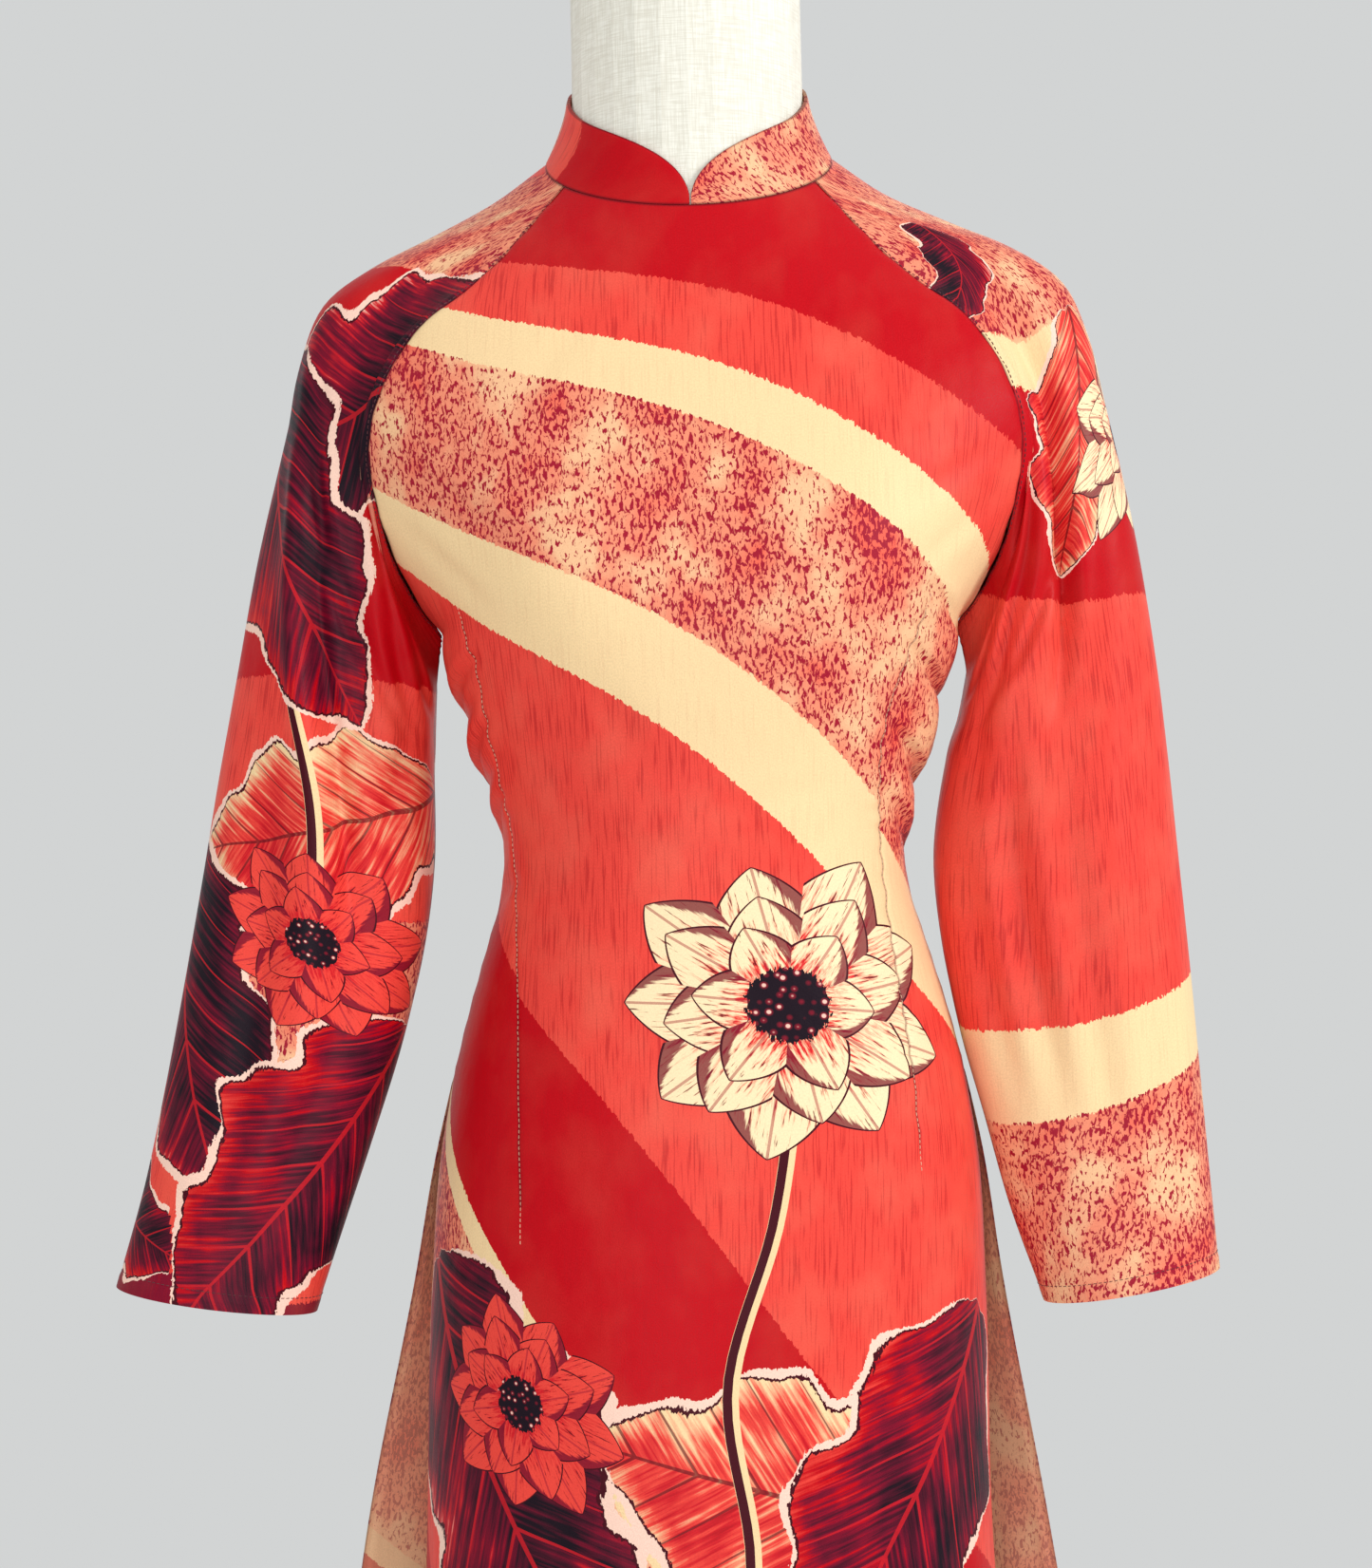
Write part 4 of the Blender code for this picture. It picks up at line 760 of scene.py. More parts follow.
def stitches(name, lines, finish):
    # equal steps along each line carry one small four-sided stitch, raised in its middle and sunk at its ends
    points, faces = [], []
    for line, outward in lines:
        run = np.concatenate([[0], np.cumsum(np.linalg.norm(np.diff(line, axis=0), axis=1))])
        at = np.arange(thread["pitch"], run[-1] - thread["pitch"], thread["pitch"])
        middle = np.stack([np.interp(at, run, line[:, n]) for n in range(3)], axis=1)
        ahead = np.stack([np.interp(at + 0.001, run, line[:, n]) for n in range(3)], axis=1)
        up = unit(np.stack([np.interp(at, run, outward[:, n]) for n in range(3)], axis=1))
        along = unit(ahead - middle)
        aside = np.cross(along, up)
        ends = [along * thread["length"] * share for share in (-0.5, -0.25, 0.25, 0.5)]
        rise = [-thread["sunk"], thread["height"], thread["height"], -thread["sunk"]]
        rings = []
        for end, high in zip(ends, rise):
            rings += [middle + end + aside * thread["width"] / 2 - up * thread["sunk"],
                      middle + end + aside * thread["width"] / 4 + up * high,
                      middle + end - aside * thread["width"] / 4 + up * high,
                      middle + end - aside * thread["width"] / 2 - up * thread["sunk"]]
        start = sum(len(block) for block in points)
        points.append(np.stack(rings, axis=1).reshape(-1, 3))
        one = [[k, (k + 1) % 4, 4 + (k + 1) % 4, 4 + k] for k in range(4)]
        one = [[4 * n + corner for corner in face] for n in range(3) for face in one]
        one = np.array(one + [[3, 2, 1, 0], [12, 13, 14, 15]])
        faces.append((one[None] + (start + 16 * np.arange(len(at)))[:, None, None]).reshape(-1, 4))
    mesh = bpy.data.meshes.new(name)
    mesh.from_pydata(np.concatenate(points).tolist(), [], np.concatenate(faces).tolist())
    print("sewed", name, "with", sum(len(block) for block in faces) // 14, "stitches")
    return placed(name, mesh, finish, 40)


def linear(hexCode):
    # an sRGB hex colour as the linear colour that a shader socket takes
    part = [int(hexCode[n:n + 2], 16) / 255 for n in (1, 3, 5)]
    return (*[c / 12.92 if c <= 0.04045 else ((c + 0.055) / 1.055) ** 2.4 for c in part], 1.0)


def put(tree, kind, inputs=None, **settings):
    # adds a node, sets its fields and links or fills its inputs, and gives its outputs
    node = tree.nodes.new("ShaderNode" + kind)
    for name, value in settings.items():
        setattr(node, name, value)
    for key, value in (inputs or {}).items():
        if isinstance(value, bpy.types.NodeSocket):
            tree.links.new(value, node.inputs[key])
        else:
            node.inputs[key].default_value = value
    return node.outputs


def newMaterial(name):
    made = bpy.data.materials.new(name)
    made.use_nodes = True
    made.node_tree.nodes.clear()
    return made, made.node_tree


dye = {  # the print's inks
    "crimson": "#BE0414",
    "coral": "#E9473C",
    "peach": "#F2D2A0",
    "speckled": "#EC8C6E",
    "wine": "#7E0C28",
    "dash": "#A01A30",
    "streak": "#A8101C",
    "burgundy": "#520F24",
    "night": "#1C0F1A",
    "rim": "#F8CFBC",
    "petal": "#F8DEB2",
    "petalDeep": "#CC1C26",
    "line": "#450A18",
    "reverse": "#F4B494",
}
bandScale = {"start": -0.3, "span": 2.0}
habits = {  # how strongly each ink carries fine lines and dashes
    "crimson": (0.30, 0.0), "coral": (1.0, 0.0), "peach": (0.12, 0.0), "speckled": (0.0, 1.0),
    "wine": (0.5, 0.0),
}
leafInks = {  # for each layer, where its strokes change from ink to ink
    "leafUnder": [(0.34, "streak"), (0.44, "petalDeep"), (0.54, "coral"), (0.70, "peach")],
    "leafOver": [(0.44, "night"), (0.53, "burgundy"), (0.62, "wine"), (0.72, "petalDeep"), (0.86, "rim")],
    "leafTop": [(0.40, "night"), (0.50, "burgundy"), (0.58, "wine"), (0.66, "crimson"), (0.82, "coral")],
}
# petals: count, turn, size and width of each ring
petalRings = [(9, 0.3, 1.00, 0.95), (8, 0.0, 0.80, 1.00), (6, 0.6, 0.58, 1.05)]


def fillRamp(ramp, stops, ink, mode):
    ramp.interpolation = mode
    while len(ramp.elements) < len(stops):
        ramp.elements.new(0.99)
    for element, (place, name) in zip(ramp.elements, stops):
        element.position = place
        element.color = ink[name]


def printedCrepe(name):
    # polyester crepe, heat-transfer printed: a silky low sheen over a fine grain, with inks that sit flat
    made, tree = newMaterial("printed_polyester_crepe_" + name)
    ink = {colour: linear(code) for colour, code in dye.items()}
    cloth = put(tree, "UVMap", uv_map="cloth")[0]
    ground = put(tree, "SeparateXYZ", {0: put(tree, "Attribute", attribute_name="ground")["Vector"]})
    edge = put(tree, "SeparateXYZ", {0: put(tree, "Attribute", attribute_name="edge")["Vector"]})

    # printed lines 1 mm wide and 28 mm long, dashes of 1.8 by 4 mm, and patches of about 40 mm
    streakAt = put(tree, "Mapping", {"Vector": cloth, "Scale": (950, 36, 1)})[0]
    line = put(tree, "TexNoise", {"Vector": streakAt, "Scale": 1.0, "Detail": 2.0})[0]
    dashAt = put(tree, "Mapping", {"Vector": cloth, "Scale": (560, 250, 1)})[0]
    dash = put(tree, "TexNoise", {"Vector": dashAt, "Scale": 1.0, "Detail": 2.0, "Roughness": 0.6,
                                  "Distortion": 0.5})[0]
    patchAt = put(tree, "Mapping", {"Vector": cloth, "Scale": (26, 20, 1)})[0]
    patch = put(tree, "TexNoise", {"Vector": patchAt, "Scale": 1.0, "Detail": 3.0})[0]

    # bands of ink along the band level, with an edge broken by the dashes
    ragged = put(tree, "MapRange", {"Value": dash, "From Min": 0.3, "From Max": 0.7, "To Min": -0.0012,
                                    "To Max": 0.0012})[0]
    level = put(tree, "Math", {0: ground[0], 1: ragged}, operation="ADD")[0]
    level = put(tree, "Math", {0: level, 1: 1 / bandScale["span"], 2: -bandScale["start"] / bandScale["span"]},
                operation="MULTIPLY_ADD")[0]
    stops = [((place - bandScale["start"]) / bandScale["span"], colour) for place,
             colour in prints[name]["bands"][5]]
    inkRamp = tree.nodes.new("ShaderNodeValToRGB")
    habitRamp = tree.nodes.new("ShaderNodeValToRGB")
    fillRamp(inkRamp.color_ramp, stops, ink, "CONSTANT")
    fillRamp(habitRamp.color_ramp, stops, {colour: (*both, 0, 1) for colour, both in habits.items()},
             "CONSTANT")
    for ramp in (inkRamp, habitRamp):
        tree.links.new(level, ramp.inputs[0])
    colour = inkRamp.outputs["Color"]
    habit = put(tree, "SeparateXYZ", {0: habitRamp.outputs["Color"]})

    # fine darker lines down the cloth, thicker where the patches are dark
    streak = put(tree, "Math", {0: patch, 1: -0.22, 2: line}, operation="MULTIPLY_ADD")[0]
    streak = put(tree, "MapRange", {"Value": streak, "From Min": 0.42, "From Max": 0.53, "To Min": 0.0,
                                    "To Max": 0.52})[0]
    streak = put(tree, "Math", {0: streak, 1: habit[0]}, operation="MULTIPLY")[0]
    colour = put(tree, "Mix", {0: streak, 6: colour, 7: ink["streak"]}, data_type="RGBA")[2]
    worn = put(tree, "MapRange", {"Value": patch, "From Min": 0.45, "From Max": 0.75, "To Min": 0.0,
                                  "To Max": 0.22})[0]
    worn = put(tree, "Math", {0: worn, 1: habit[0]}, operation="MULTIPLY")[0]
    colour = put(tree, "Mix", {0: worn, 6: colour, 7: ink["speckled"]}, data_type="RGBA")[2]

    # the speckled bands: peach and coral patches under dark red dashes that crowd together
    warm = put(tree, "MapRange", {"Value": patch, "From Min": 0.50, "From Max": 0.62, "To Min": 0.0,
                                  "To Max": 0.62})[0]
    warm = put(tree, "Math", {0: warm, 1: habit[1]}, operation="MULTIPLY")[0]
    colour = put(tree, "Mix", {0: warm, 6: colour, 7: ink["peach"]}, data_type="RGBA")[2]
    hot = put(tree, "MapRange", {"Value": patch, "From Min": 0.46, "From Max": 0.34, "To Min": 0.0,
                                 "To Max": 0.7})[0]
    hot = put(tree, "Math", {0: hot, 1: habit[1]}, operation="MULTIPLY")[0]
    colour = put(tree, "Mix", {0: hot, 6: colour, 7: ink["coral"]}, data_type="RGBA")[2]
    crowd = put(tree, "Math", {0: patch, 1: -0.34, 2: dash}, operation="MULTIPLY_ADD")[0]
    crowd = put(tree, "MapRange", {"Value": crowd, "From Min": 0.350, "From Max": 0.395})[0]
    crowd = put(tree, "Math", {0: crowd, 1: habit[1]}, operation="MULTIPLY")[0]
    colour = put(tree, "Mix", {0: crowd, 6: colour, 7: ink["dash"]}, data_type="RGBA")[2]

    # leaves: inside where half the width is more than the distance from the midrib; strokes run out along the
    # veins, a pale rim of uneven width closes the edge, and a dark line lies inside it
    for layer, stops in leafInks.items():
        leaf = put(tree, "SeparateXYZ", {0: put(tree, "Attribute", attribute_name=layer)["Vector"]})
        aside = put(tree, "Math", {0: leaf[1]}, operation="ABSOLUTE")[0]
        depth = put(tree, "Math", {0: leaf[2], 1: aside}, operation="SUBTRACT")[0]
        fray = put(tree, "MapRange", {"Value": dash, "From Min": 0.3, "From Max": 0.7, "To Min": -0.005,
                                      "To Max": 0.005})[0]
        depth = put(tree, "Math", {0: depth, 1: fray}, operation="ADD")[0]
        inside = put(tree, "Math", {0: depth, 1: 0.0}, operation="GREATER_THAN")[0]
        slant = put(tree, "Math", {0: aside, 1: -1.1, 2: leaf[0]}, operation="MULTIPLY_ADD")[0]
        strokeAt = put(tree, "CombineXYZ", {0: put(tree, "Math", {0: slant, 1: 52.0}, operation="MULTIPLY")[0],
                                            1: put(tree, "Math", {0: leaf[1], 1: 6.0},
                                                   operation="MULTIPLY")[0]})[0]
        stroke = put(tree, "TexNoise", {"Vector": strokeAt, "Scale": 1.0, "Detail": 3.0, "Roughness": 0.6})[0]
        tone = put(tree, "Math", {0: stroke, 1: 0.62}, operation="MULTIPLY")[0]
        tone = put(tree, "Math", {0: patch, 1: 0.42, 2: tone}, operation="MULTIPLY_ADD")[0]
        tone = put(tree, "Math", {0: leaf[1], 1: 0.35, 2: tone}, operation="MULTIPLY_ADD")[0]
        fringe = put(tree, "MapRange", {"Value": depth, "From Min": 0.0, "From Max": 0.09, "To Min": 0.13,
                                        "To Max": 0.0})[0]
        tone = put(tree, "Math", {0: tone, 1: fringe}, operation="ADD")[0]
        leafRamp = tree.nodes.new("ShaderNodeValToRGB")
        fillRamp(leafRamp.color_ramp, stops, ink, "LINEAR")
        tree.links.new(tone, leafRamp.inputs[0])
        shade = leafRamp.outputs["Color"]
        vein = put(tree, "Math", {0: slant, 1: 7.0}, operation="MULTIPLY")[0]
        vein = put(tree, "Math", {0: vein}, operation="FRACT")[0]
        thin = put(tree, "Math", {0: aside, 1: -0.22, 2: 0.075}, operation="MULTIPLY_ADD")[0]
        vein = put(tree, "Math", {0: vein, 1: thin}, operation="LESS_THAN")[0]
        rib = put(tree, "Math", {0: leaf[0], 1: -0.006, 2: 0.0085}, operation="MULTIPLY_ADD")[0]
        rib = put(tree, "Math", {0: aside, 1: rib}, operation="LESS_THAN")[0]
        vein = put(tree, "Math", {0: vein, 1: rib}, operation="MAXIMUM")[0]
        vein = put(tree, "Math", {0: vein, 1: 0.7}, operation="MULTIPLY")[0]
        shade = put(tree, "Mix", {0: vein, 6: shade, 7: ink["line" if layer == "leafUnder" else "petalDeep"]},
                    data_type="RGBA")[2]
        rimWide = put(tree, "MapRange", {"Value": patch, "From Min": 0.38, "From Max": 0.66, "To Min": 0.004,
                                         "To Max": 0.034})[0]
        innerLine = put(tree, "Math", {0: rimWide, 1: 0.008}, operation="ADD")[0]
        innerLine = put(tree, "Math", {0: depth, 1: innerLine}, operation="LESS_THAN")[0]
        shade = put(tree, "Mix", {0: innerLine, 6: shade, 7: ink["line"]}, data_type="RGBA")[2]
        rim = put(tree, "Math", {0: depth, 1: rimWide}, operation="LESS_THAN")[0]
        shade = put(tree, "Mix", {0: rim, 6: shade, 7: ink["rim"]}, data_type="RGBA")[2]
        colour = put(tree, "Mix", {0: inside, 6: colour, 7: shade}, data_type="RGBA")[2]
        if layer == "leafUnder":
            # stems lie between the leaves: 8 mm wide, dark with a pale side
            pale = put(tree, "Math", {0: put(tree, "Math", {0: ground[1]}, operation="ABSOLUTE")[0], 1: 0.0042},
                       operation="LESS_THAN")[0]
            dark = put(tree, "Math", {0: put(tree, "Math", {0: ground[1], 1: 0.0016}, operation="ADD")[0]},
                       operation="ABSOLUTE")[0]
            dark = put(tree, "Math", {0: dark, 1: 0.0024}, operation="LESS_THAN")[0]
            colour = put(tree, "Mix", {0: pale, 6: colour, 7: ink["peach"]}, data_type="RGBA")[2]
            colour = put(tree, "Mix", {0: dark, 6: colour, 7: ink["line"]}, data_type="RGBA")[2]

    # flowers: rings of petals of uneven length; across the angle of one petal its half width is
    # a^0.8 (1-a)^0.85, with a the distance from the heart over the petal's length
    flower = put(tree, "SeparateXYZ", {0: put(tree, "Attribute", attribute_name="flower")["Vector"]})
    spot = put(tree, "CombineXYZ", {0: flower[0], 1: flower[1]})[0]
    radius = put(tree, "VectorMath", {0: spot}, operation="LENGTH")["Value"]
    bearing = put(tree, "Math", {0: flower[1], 1: flower[0]}, operation="ARCTAN2")[0]
    tipInk = put(tree, "Mix", {0: flower[2], 6: ink["petal"], 7: ink["coral"]}, data_type="RGBA")[2]
    warmInk = put(tree, "Mix", {0: flower[2], 6: ink["coral"], 7: ink["petalDeep"]}, data_type="RGBA")[2]
    for count, turn, size, wide in petalRings:
        swing = put(tree, "Math", {0: bearing, 1: count / (2 * math.pi), 2: turn + count},
                    operation="MULTIPLY_ADD")[0]
        petal = put(tree, "Math", {0: put(tree, "Math", {0: swing}, operation="FLOOR")[0], 1: float(count)},
                    operation="MODULO")[0]
        chance = put(tree, "TexWhiteNoise", {"W": put(tree, "Math", {0: petal, 1: 7.3 * size},
                                                      operation="ADD")[0]},
                     noise_dimensions="1D")["Value"]
        long = put(tree, "Math", {0: chance, 1: 0.20 * size, 2: 0.82 * size}, operation="MULTIPLY_ADD")[0]
        within = put(tree, "Math", {0: put(tree, "Math", {0: swing}, operation="FRACT")[0], 1: 0.5},
                     operation="SUBTRACT")[0]
        within = put(tree, "Math", {0: within, 1: 2 * math.pi / count}, operation="MULTIPLY")[0]
        lateral = put(tree, "Math", {0: put(tree, "Math", {0: within}, operation="SINE")[0], 1: radius},
                      operation="MULTIPLY")[0]
        axial = put(tree, "Math", {0: put(tree, "Math", {0: within}, operation="COSINE")[0], 1: radius},
                    operation="MULTIPLY")[0]
        axial = put(tree, "Math", {0: axial, 1: long}, operation="DIVIDE")[0]
        rest = put(tree, "Math", {0: put(tree, "Math", {0: 1.0, 1: axial}, operation="SUBTRACT")[0], 1: 0.0},
                   operation="MAXIMUM")[0]
        half = put(tree, "Math", {0: put(tree, "Math", {0: axial, 1: 0.8}, operation="POWER")[0],
                                  1: put(tree, "Math", {0: rest, 1: 0.85}, operation="POWER")[0]},
                                  operation="MULTIPLY")[0]
        half = put(tree, "Math", {0: half, 1: wide * size}, operation="MULTIPLY")[0]
        aside = put(tree, "Math", {0: lateral}, operation="ABSOLUTE")[0]
        depth = put(tree, "Math", {0: half, 1: aside}, operation="SUBTRACT")[0]
        inside = put(tree, "Math", {0: depth, 1: 0.0}, operation="GREATER_THAN")[0]
        hatchAt = put(tree, "CombineXYZ", {0: put(tree, "Math", {0: lateral, 1: 64.0}, operation="MULTIPLY")[0],
                                           1: put(tree, "Math", {0: axial, 1: 5.0}, operation="MULTIPLY")[0],
                                           2: put(tree, "Math", {0: petal, 1: 3.1},
                                                  operation="MULTIPLY")[0]})[0]
        hatch = put(tree, "TexNoise", {"Vector": hatchAt, "Scale": 1.0, "Detail": 3.0, "Roughness": 0.62})[0]
        heat = put(tree, "Math", {0: axial, 1: -0.50, 2: hatch}, operation="MULTIPLY_ADD")[0]
        warm = put(tree, "MapRange", {"Value": heat, "From Min": 0.16, "From Max": 0.34})[0]
        shade = put(tree, "Mix", {0: warm, 6: tipInk, 7: warmInk}, data_type="RGBA")[2]
        deep = put(tree, "MapRange", {"Value": heat, "From Min": 0.31, "From Max": 0.40})[0]
        shade = put(tree, "Mix", {0: deep, 6: shade, 7: ink["petalDeep"]}, data_type="RGBA")[2]
        tip = put(tree, "MapRange", {"Value": hatch, "From Min": 0.60, "From Max": 0.66, "To Min": 0.0,
                                     "To Max": 0.8})[0]
        tip = put(tree, "Math", {0: tip, 1: put(tree, "Math", {0: axial, 1: 0.55},
                                                operation="GREATER_THAN")[0]},
                  operation="MULTIPLY")[0]
        shade = put(tree, "Mix", {0: tip, 6: shade, 7: ink["line"]}, data_type="RGBA")[2]
        shadow = put(tree, "Math", {0: hatch, 1: 0.10, 2: lateral}, operation="MULTIPLY_ADD")[0]
        shadow = put(tree, "Math", {0: half, 1: -0.62, 2: shadow}, operation="MULTIPLY_ADD")[0]
        shadow = put(tree, "MapRange", {"Value": shadow, "From Min": 0.040, "From Max": 0.056,
                                        "To Min": 0.0, "To Max": 0.9})[0]
        shade = put(tree, "Mix", {0: shadow, 6: shade, 7: ink["wine"]}, data_type="RGBA")[2]
        fold = put(tree, "Math", {0: put(tree, "Math", {0: aside, 1: 0.008}, operation="LESS_THAN")[0], 1: 0.6},
                   operation="MULTIPLY")[0]
        shade = put(tree, "Mix", {0: fold, 6: shade, 7: ink["dash"]}, data_type="RGBA")[2]
        outline = put(tree, "Math", {0: depth, 1: 0.014}, operation="LESS_THAN")[0]
        shade = put(tree, "Mix", {0: outline, 6: shade, 7: ink["line"]}, data_type="RGBA")[2]
        colour = put(tree, "Mix", {0: inside, 6: colour, 7: shade}, data_type="RGBA")[2]

    # the heart: round seeds with a pale glint, on a dark ground with a ragged border
    seedAt = put(tree, "Mapping", {"Vector": spot, "Scale": (17, 17, 1)})[0]
    seeds = put(tree, "TexVoronoi", {"Vector": seedAt, "Scale": 1.0, "Randomness": 0.6})["Distance"]
    seedTone = put(tree, "MapRange", {"Value": seeds, "From Min": 0.15, "From Max": 0.45, "To Min": 1.0,
                                      "To Max": 0.0})[0]
    heart = put(tree, "Mix", {0: seedTone, 6: ink["night"], 7: ink["dash"]}, data_type="RGBA")[2]
    glint = put(tree, "MapRange", {"Value": seeds, "From Min": 0.26, "From Max": 0.18, "To Min": 0.0,
                                   "To Max": 0.85})[0]
    heart = put(tree, "Mix", {0: glint, 6: heart, 7: ink["rim"]}, data_type="RGBA")[2]
    frill = put(tree, "MapRange", {"Value": dash, "From Min": 0.3, "From Max": 0.7, "To Min": 0.20,
                                   "To Max": 0.25})[0]
    core = put(tree, "Math", {0: radius, 1: frill}, operation="LESS_THAN")[0]
    colour = put(tree, "Mix", {0: core, 6: colour, 7: heart}, data_type="RGBA")[2]

    # seams and edges show as fine dark lines, and the wrong side of the cloth is paler: partly the print's own
    # paler reverse, partly painted light that lifts the shaded insides of the flaps
    seamLine = put(tree, "MapRange", {"Value": edge[0], "From Min": 0.0003, "From Max": 0.0012,
                                      "To Min": 0.6, "To Max": 0.0})[0]
    colour = put(tree, "Mix", {0: seamLine, 6: colour, 7: ink["line"]}, data_type="RGBA")[2]
    # painted light: every inside face is mixed 42% towards the pale reverse ink, more than the real reverse
    # needs, so the shade inside the flaps reads brighter
    reverseAndPaintedLift = put(tree, "Math", {0: edge[1], 1: 0.42}, operation="MULTIPLY")[0]
    colour = put(tree, "Mix", {0: reverseAndPaintedLift, 6: colour, 7: ink["reverse"]}, data_type="RGBA")[2]

    # threads 0.25 mm apart are too fine to show, so the grain is drawn at about 0.9 mm
    grainAt = put(tree, "Mapping", {"Vector": cloth, "Scale": (1200, 1000, 1)})[0]
    grain = put(tree, "TexNoise", {"Vector": grainAt, "Scale": 1.0, "Detail": 2.0})[0]
    fleck = put(tree, "MapRange", {"Value": grain, "From Min": 0.35, "From Max": 0.65, "To Min": 0.93,
                                   "To Max": 1.04})[0]
    colour = put(tree, "VectorMath", {0: colour, 3: fleck}, operation="SCALE")[0]
    soft = put(tree, "TexNoise", {"Vector": patchAt, "Scale": 2.4, "Detail": 2.0})[0]
    relief = put(tree, "Bump", {"Height": grain, "Strength": 0.16, "Distance": 0.0006})[0]
    relief = put(tree, "Bump", {"Height": soft, "Strength": 0.30, "Distance": 0.002, "Normal": relief})[0]
    rough = put(tree, "MapRange", {"Value": grain, "From Min": 0.3, "From Max": 0.7, "To Min": 0.38,
                                   "To Max": 0.50})[0]
    shader = put(tree, "BsdfPrincipled", {"Base Color": colour, "Roughness": rough, "Normal": relief,
                                          "IOR": 1.45,
                                          "Specular IOR Level": 0.11, "Sheen Weight": 0.01,
                                          "Sheen Roughness": 0.35, "Sheen Tint": linear("#FFD2C2")})[0]
    put(tree, "OutputMaterial", {"Surface": shader})
    return made


def sewingThread(name, hexCode):
    # spun polyester sewing thread, two plies twisted: a dull sheen with a fine slanting twist
    made, tree = newMaterial("spun_polyester_thread_" + name)
    place = put(tree, "TexCoord")["Object"]
    twistAt = put(tree, "Mapping", {"Vector": place, "Scale": (2600, 2600, 3400)})[0]
    twist = put(tree, "TexNoise", {"Vector": twistAt, "Scale": 1.0, "Detail": 1.0})[0]
    full = linear(hexCode)
    dull = (*[value * 0.55 for value in full[:3]], 1.0)
    colour = put(tree, "Mix", {0: twist, 6: dull, 7: full}, data_type="RGBA")[2]
    shader = put(tree, "BsdfPrincipled", {"Base Color": colour, "Roughness": 0.55, "Sheen Weight": 0.2})[0]
    put(tree, "OutputMaterial", {"Surface": shader})
    return made


def linenCover():
    # off-white linen, plain-woven from uneven yarn: matte, with slubs along both threads
    made, tree = newMaterial("woven_linen_cover")
    place = put(tree, "TexCoord")["Object"]
    alongAt = put(tree, "Mapping", {"Vector": place, "Scale": (90, 90, 1300)})[0]
    along = put(tree, "TexNoise", {"Vector": alongAt, "Scale": 1.0, "Detail": 2.0})[0]
    upAt = put(tree, "Mapping", {"Vector": place, "Scale": (1300, 1300, 70)})[0]
    up = put(tree, "TexNoise", {"Vector": upAt, "Scale": 1.0, "Detail": 2.0})[0]
    weave = put(tree, "Math", {0: along, 1: up}, operation="MULTIPLY")[0]
    tone = put(tree, "MapRange", {"Value": weave, "From Min": 0.15, "From Max": 0.36})[0]
    colour = put(tree, "Mix", {0: tone, 6: linear("#DDD9CA"), 7: linear("#F0EEE2")}, data_type="RGBA")[2]
    relief = put(tree, "Bump", {"Height": weave, "Strength": 0.25, "Distance": 0.0005})[0]
    shader = put(tree, "BsdfPrincipled", {"Base Color": colour, "Roughness": 0.88, "Normal": relief,
                                          "Sheen Weight": 0.1,
                                          "Sheen Roughness": 0.6})[0]
    put(tree, "OutputMaterial", {"Surface": shader})
    return made


def satinSteel():
    # mild steel, turned and brushed, then lacquered: fine circular scratches spread the light
    made, tree = newMaterial("brushed_lacquered_steel")
    place = put(tree, "TexCoord")["Object"]
    part = put(tree, "SeparateXYZ", {0: place})
    across = put(tree, "CombineXYZ", {0: part[0], 1: part[1]})[0]
    ringAt = put(tree, "VectorMath", {0: across}, operation="LENGTH")["Value"]
    scratchAt = put(tree, "CombineXYZ", {0: put(tree, "Math", {0: ringAt, 1: 900.0}, operation="MULTIPLY")[0],
                                         1: put(tree, "Math", {0: part[2], 1: 1200.0},
                                                operation="MULTIPLY")[0]})[0]
    scratch = put(tree, "TexNoise", {"Vector": scratchAt, "Scale": 1.0, "Detail": 3.0})[0]
    tone = put(tree, "Mix", {0: scratch, 6: linear("#A9A9A6"), 7: linear("#D4D3CF")}, data_type="RGBA")[2]
    rough = put(tree, "MapRange", {"Value": scratch, "From Min": 0.3, "From Max": 0.7, "To Min": 0.28,
                                   "To Max": 0.42})[0]
    relief = put(tree, "Bump", {"Height": scratch, "Strength": 0.12, "Distance": 0.0004})[0]
    shader = put(tree, "BsdfPrincipled", {"Base Color": tone, "Metallic": 1.0, "Roughness": rough,
                                          "Normal": relief})[0]
    put(tree, "OutputMaterial", {"Surface": shader})
    return made


def paleFloor():
    # matte painted board, rolled on: an even pale grey
    made, tree = newMaterial("rolled_matte_paint")
    place = put(tree, "TexCoord")["Object"]
    mottle = put(tree, "TexNoise", {"Vector": place, "Scale": 60.0, "Detail": 2.0})[0]
    colour = put(tree, "Mix", {0: mottle, 6: linear("#C8CACA"), 7: linear("#CED0D0")}, data_type="RGBA")[2]
    shader = put(tree, "BsdfPrincipled", {"Base Color": colour, "Roughness": 0.8})[0]
    put(tree, "OutputMaterial", {"Surface": shader})
    return made


def seamRows(surface, piece):
    # the panel's rows that a sleeve ring meets, without the extra hem rows
    wanted = np.arange(cut["raglanRows"] * cut["finer"] + 1) / cut["finer"]
    edge = panelEdges(piece, wanted)
    return panelGrid(piece, edge, slideColumns(piece, surface["columns"], edge))


def dartLines(surface, piece):
    # the sewing line of each dart, down the mesh column that follows it
    lines = []
    for side, share, line in piece["darts"]:
        mark = int(np.argmin(np.abs(surface["columns"] - side * share)))
        live = (surface["height"][:, 0] > line[0][0]) & (surface["height"][:, 0] < line[-1][0])
        lines.append((surface["grid"][live, mark], -surface["inward"][live, mark]))
    return lines


def hemLines(surface):
    # the sewing lines of a flap: 18.5 mm above its foot and 5 mm inside its two free edges
    grid, inward, run = surface["grid"], surface["inward"], surface["run"]
    lines = [lineAt(grid, inward, surface["fromHem"], hemFold["hem"][2])]
    flap = surface["rows"] > cut["slitRow"] + 0.3
    for distance in (run, run[:, -1:] - run):
        tables = [table[flap].swapaxes(0, 1) for table in (grid, inward, distance)]
        lines.append(lineAt(*tables, hemFold["slit"][2]))
    return lines


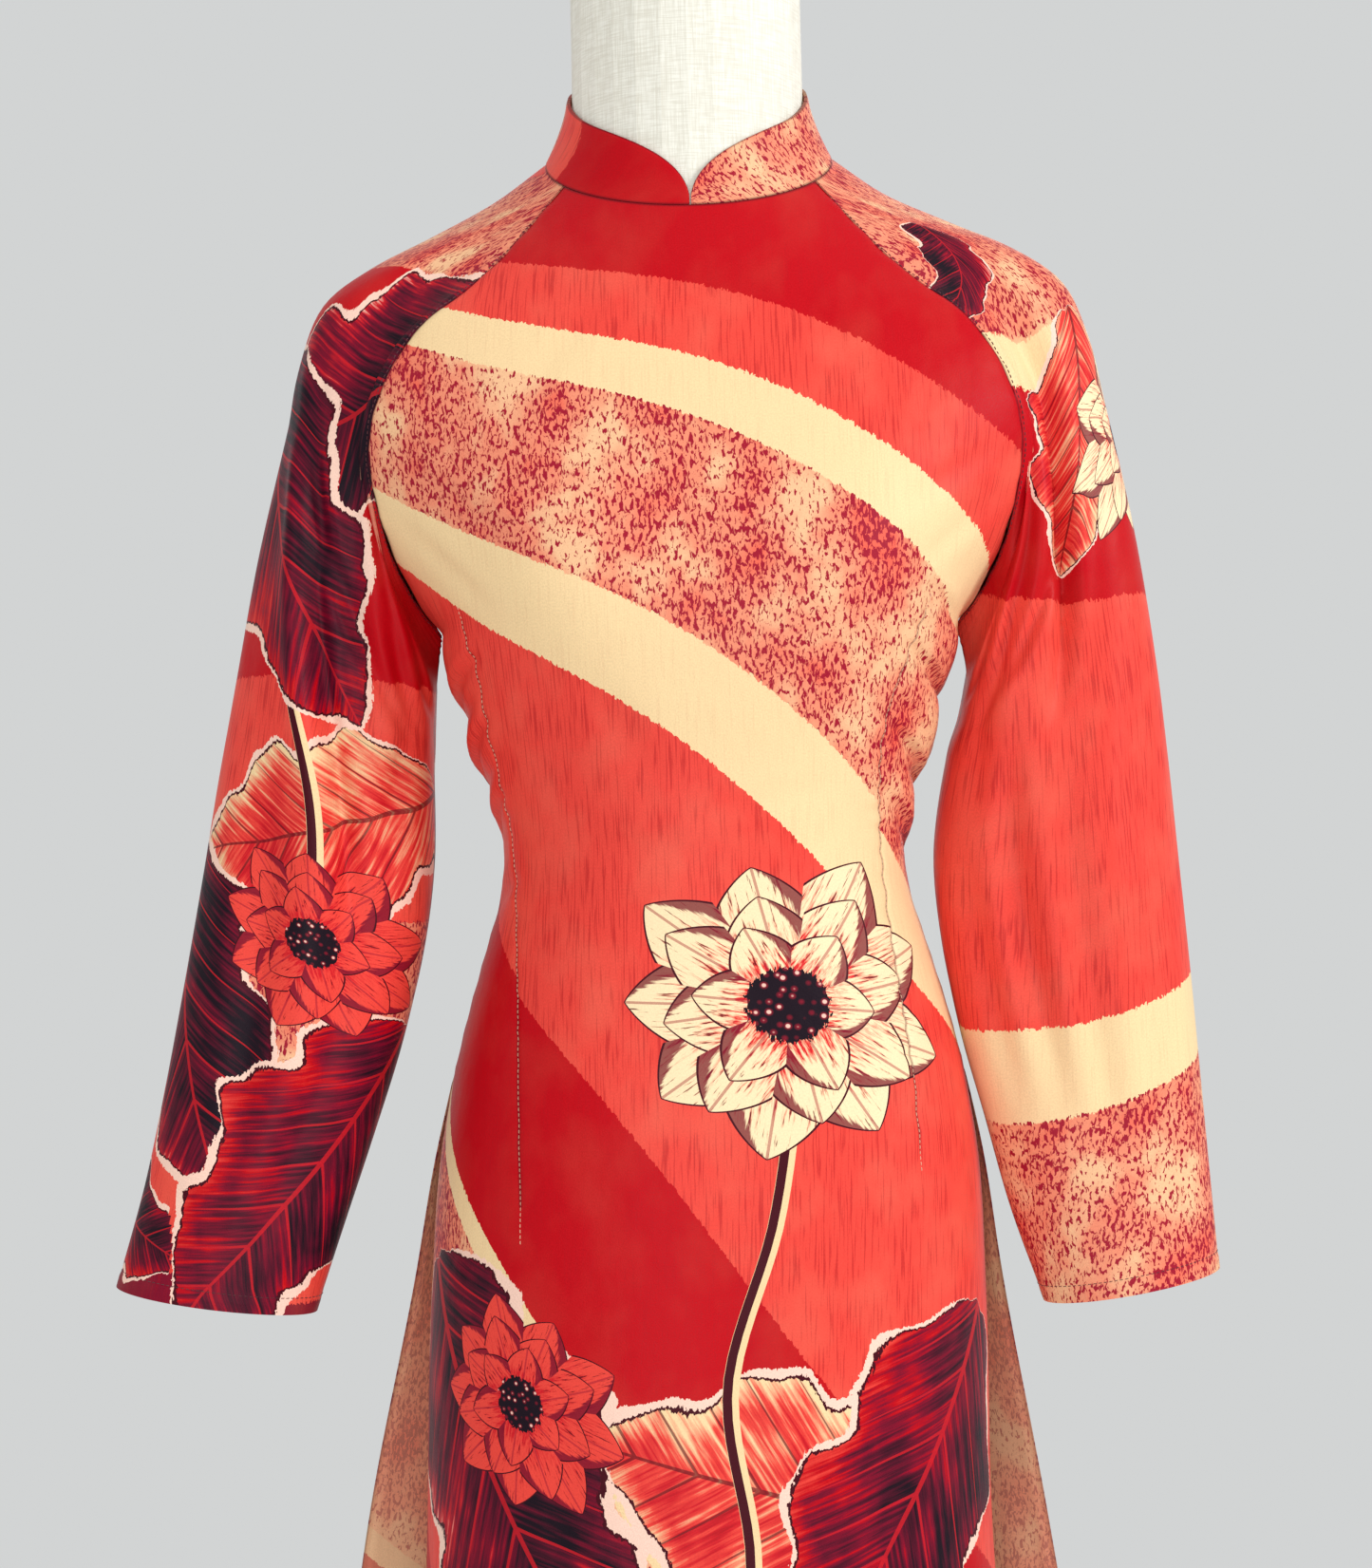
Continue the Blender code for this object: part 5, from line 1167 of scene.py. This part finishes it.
def sleeveLines(surface):
    # sewing lines of a sleeve: the cuff hem all round and the raglan seam beside the mouth
    grid, inward = surface["grid"], surface["inward"]
    half = cut["neckSteps"] * cut["finer"] // 2
    seam = slice(half, half + 2 * cut["raglanRows"] * cut["finer"] - 1)
    fromCuff, fromMouth = surface["fromCuff"][:, :-1], surface["fromMouth"][:, :-1]
    return [lineAt(grid, inward, fromCuff, hemFold["cuff"][2]),
            lineAt(grid[:, seam], inward[:, seam], fromMouth[:, seam], hemFold["raglanLine"])]


print("panels and sleeves")
front, back = panelSurface(frontPanel), panelSurface(backPanel)
frontSeam, backSeam = seamRows(front, frontPanel), seamRows(back, backPanel)
right = sleeveSurface(sleeveRight, frontSeam, backSeam)
left = sleeveSurface(sleeveLeft, frontSeam, backSeam)
garment = [("frontPanel", "front_panel", front, cut["cloth"]), ("backPanel", "back_panel", back, cut["cloth"]),
           ("sleeveRight", "sleeve_right", right, cut["cloth"]),
           ("sleeveLeft", "sleeve_left", left, cut["cloth"]),
           ("collarBand", "collar", collarSurface(), cut["collarCloth"])]
cloths = [shell(name, node, surface, thick, printedCrepe(name)) for name, node, surface, thick in garment]

print("sewing")
redThread, darkThread = sewingThread("red", "#C23A34"), sewingThread("dark", "#5A1220")
paleThread = sewingThread("pale", "#F4C4A4")
sewn = [[stitches("frontDartStitches", dartLines(front, frontPanel), paleThread),
         stitches("frontHemStitches", hemLines(front), redThread)],
        [stitches("backDartStitches", dartLines(back, backPanel), redThread),
         stitches("backHemStitches", hemLines(back), redThread)],
        [stitches("sleeveRightStitches", sleeveLines(right), darkThread)],
        [stitches("sleeveLeftStitches", sleeveLines(left), darkThread)], []]

print("form and stand")
linen, steel = linenCover(), satinSteel()
for name, finish in (("dress_form", linen), ("pole", steel), ("base", steel)):
    for slotOf in bpy.data.objects[name].material_slots:
        slotOf.material = finish

view = {
    "place": (-0.009, -1.33, 1.07),     # eye level with the waist, 1.33 m in front
    "roll": -1.29,                      # the photograph is turned a little clockwise
    "lens": 56.3,
    "lamps": [("key", (2.3, -1.4, 2.1), 0.8, 42), ("front", (-0.2, -2.4, 0.7), 1.4, 19),
              ("top", (0.0, -0.3, 3.2), 1.4, 6),
              ("rear", (0.3, 2.8, 2.0), 2.2, 12)],
    "sky": ("#F6F8F8", 0.70),
    "floor": 1.6,
}


def cameraAndLight():
    # a level camera and four soft square lamps aimed at the waist, over a round floor
    data = bpy.data.cameras.new("camera")
    data.lens = view["lens"]
    data.sensor_width = 36.0
    data.clip_start = 0.05
    camera = bpy.data.objects.new("camera", data)
    look = Vector((0, 1, 0)).to_track_quat("-Z", "Y").to_matrix().to_4x4()
    roll = Matrix.Rotation(math.radians(view["roll"]), 4, "Z")
    camera.matrix_world = Matrix.Translation(view["place"]) @ look @ roll
    bpy.context.scene.collection.objects.link(camera)
    bpy.context.scene.camera = camera
    for name, place, size, power in view["lamps"]:
        lamp = bpy.data.lights.new(name, "AREA")
        lamp.size = size
        lamp.energy = power
        holder = bpy.data.objects.new(name, lamp)
        holder.location = place
        holder.rotation_euler = (Vector((0, 0, 1.0)) - Vector(place)).to_track_quat("-Z", "Y").to_euler()
        bpy.context.scene.collection.objects.link(holder)
    world = bpy.data.worlds.new("room")
    world.use_nodes = True
    sky = world.node_tree.nodes["Background"]
    sky.inputs["Color"].default_value = linear(view["sky"][0])
    sky.inputs["Strength"].default_value = view["sky"][1]
    bpy.context.scene.world = world
    bpy.context.scene.view_settings.view_transform = "Standard"     # the inks keep their own sRGB colours
    floorMesh = bpy.data.meshes.new("floor")
    turn = np.linspace(0, 2 * math.pi, 96, endpoint=False)
    rim = np.stack([view["floor"] * np.cos(turn), view["floor"] * np.sin(turn), 0 * turn], axis=1)
    floorMesh.from_pydata(rim.tolist(), [], [list(range(96))])
    floorMesh.materials.append(paleFloor())
    floor = bpy.data.objects.new("floor", floorMesh)
    bpy.context.scene.collection.objects.link(floor)


cameraAndLight()
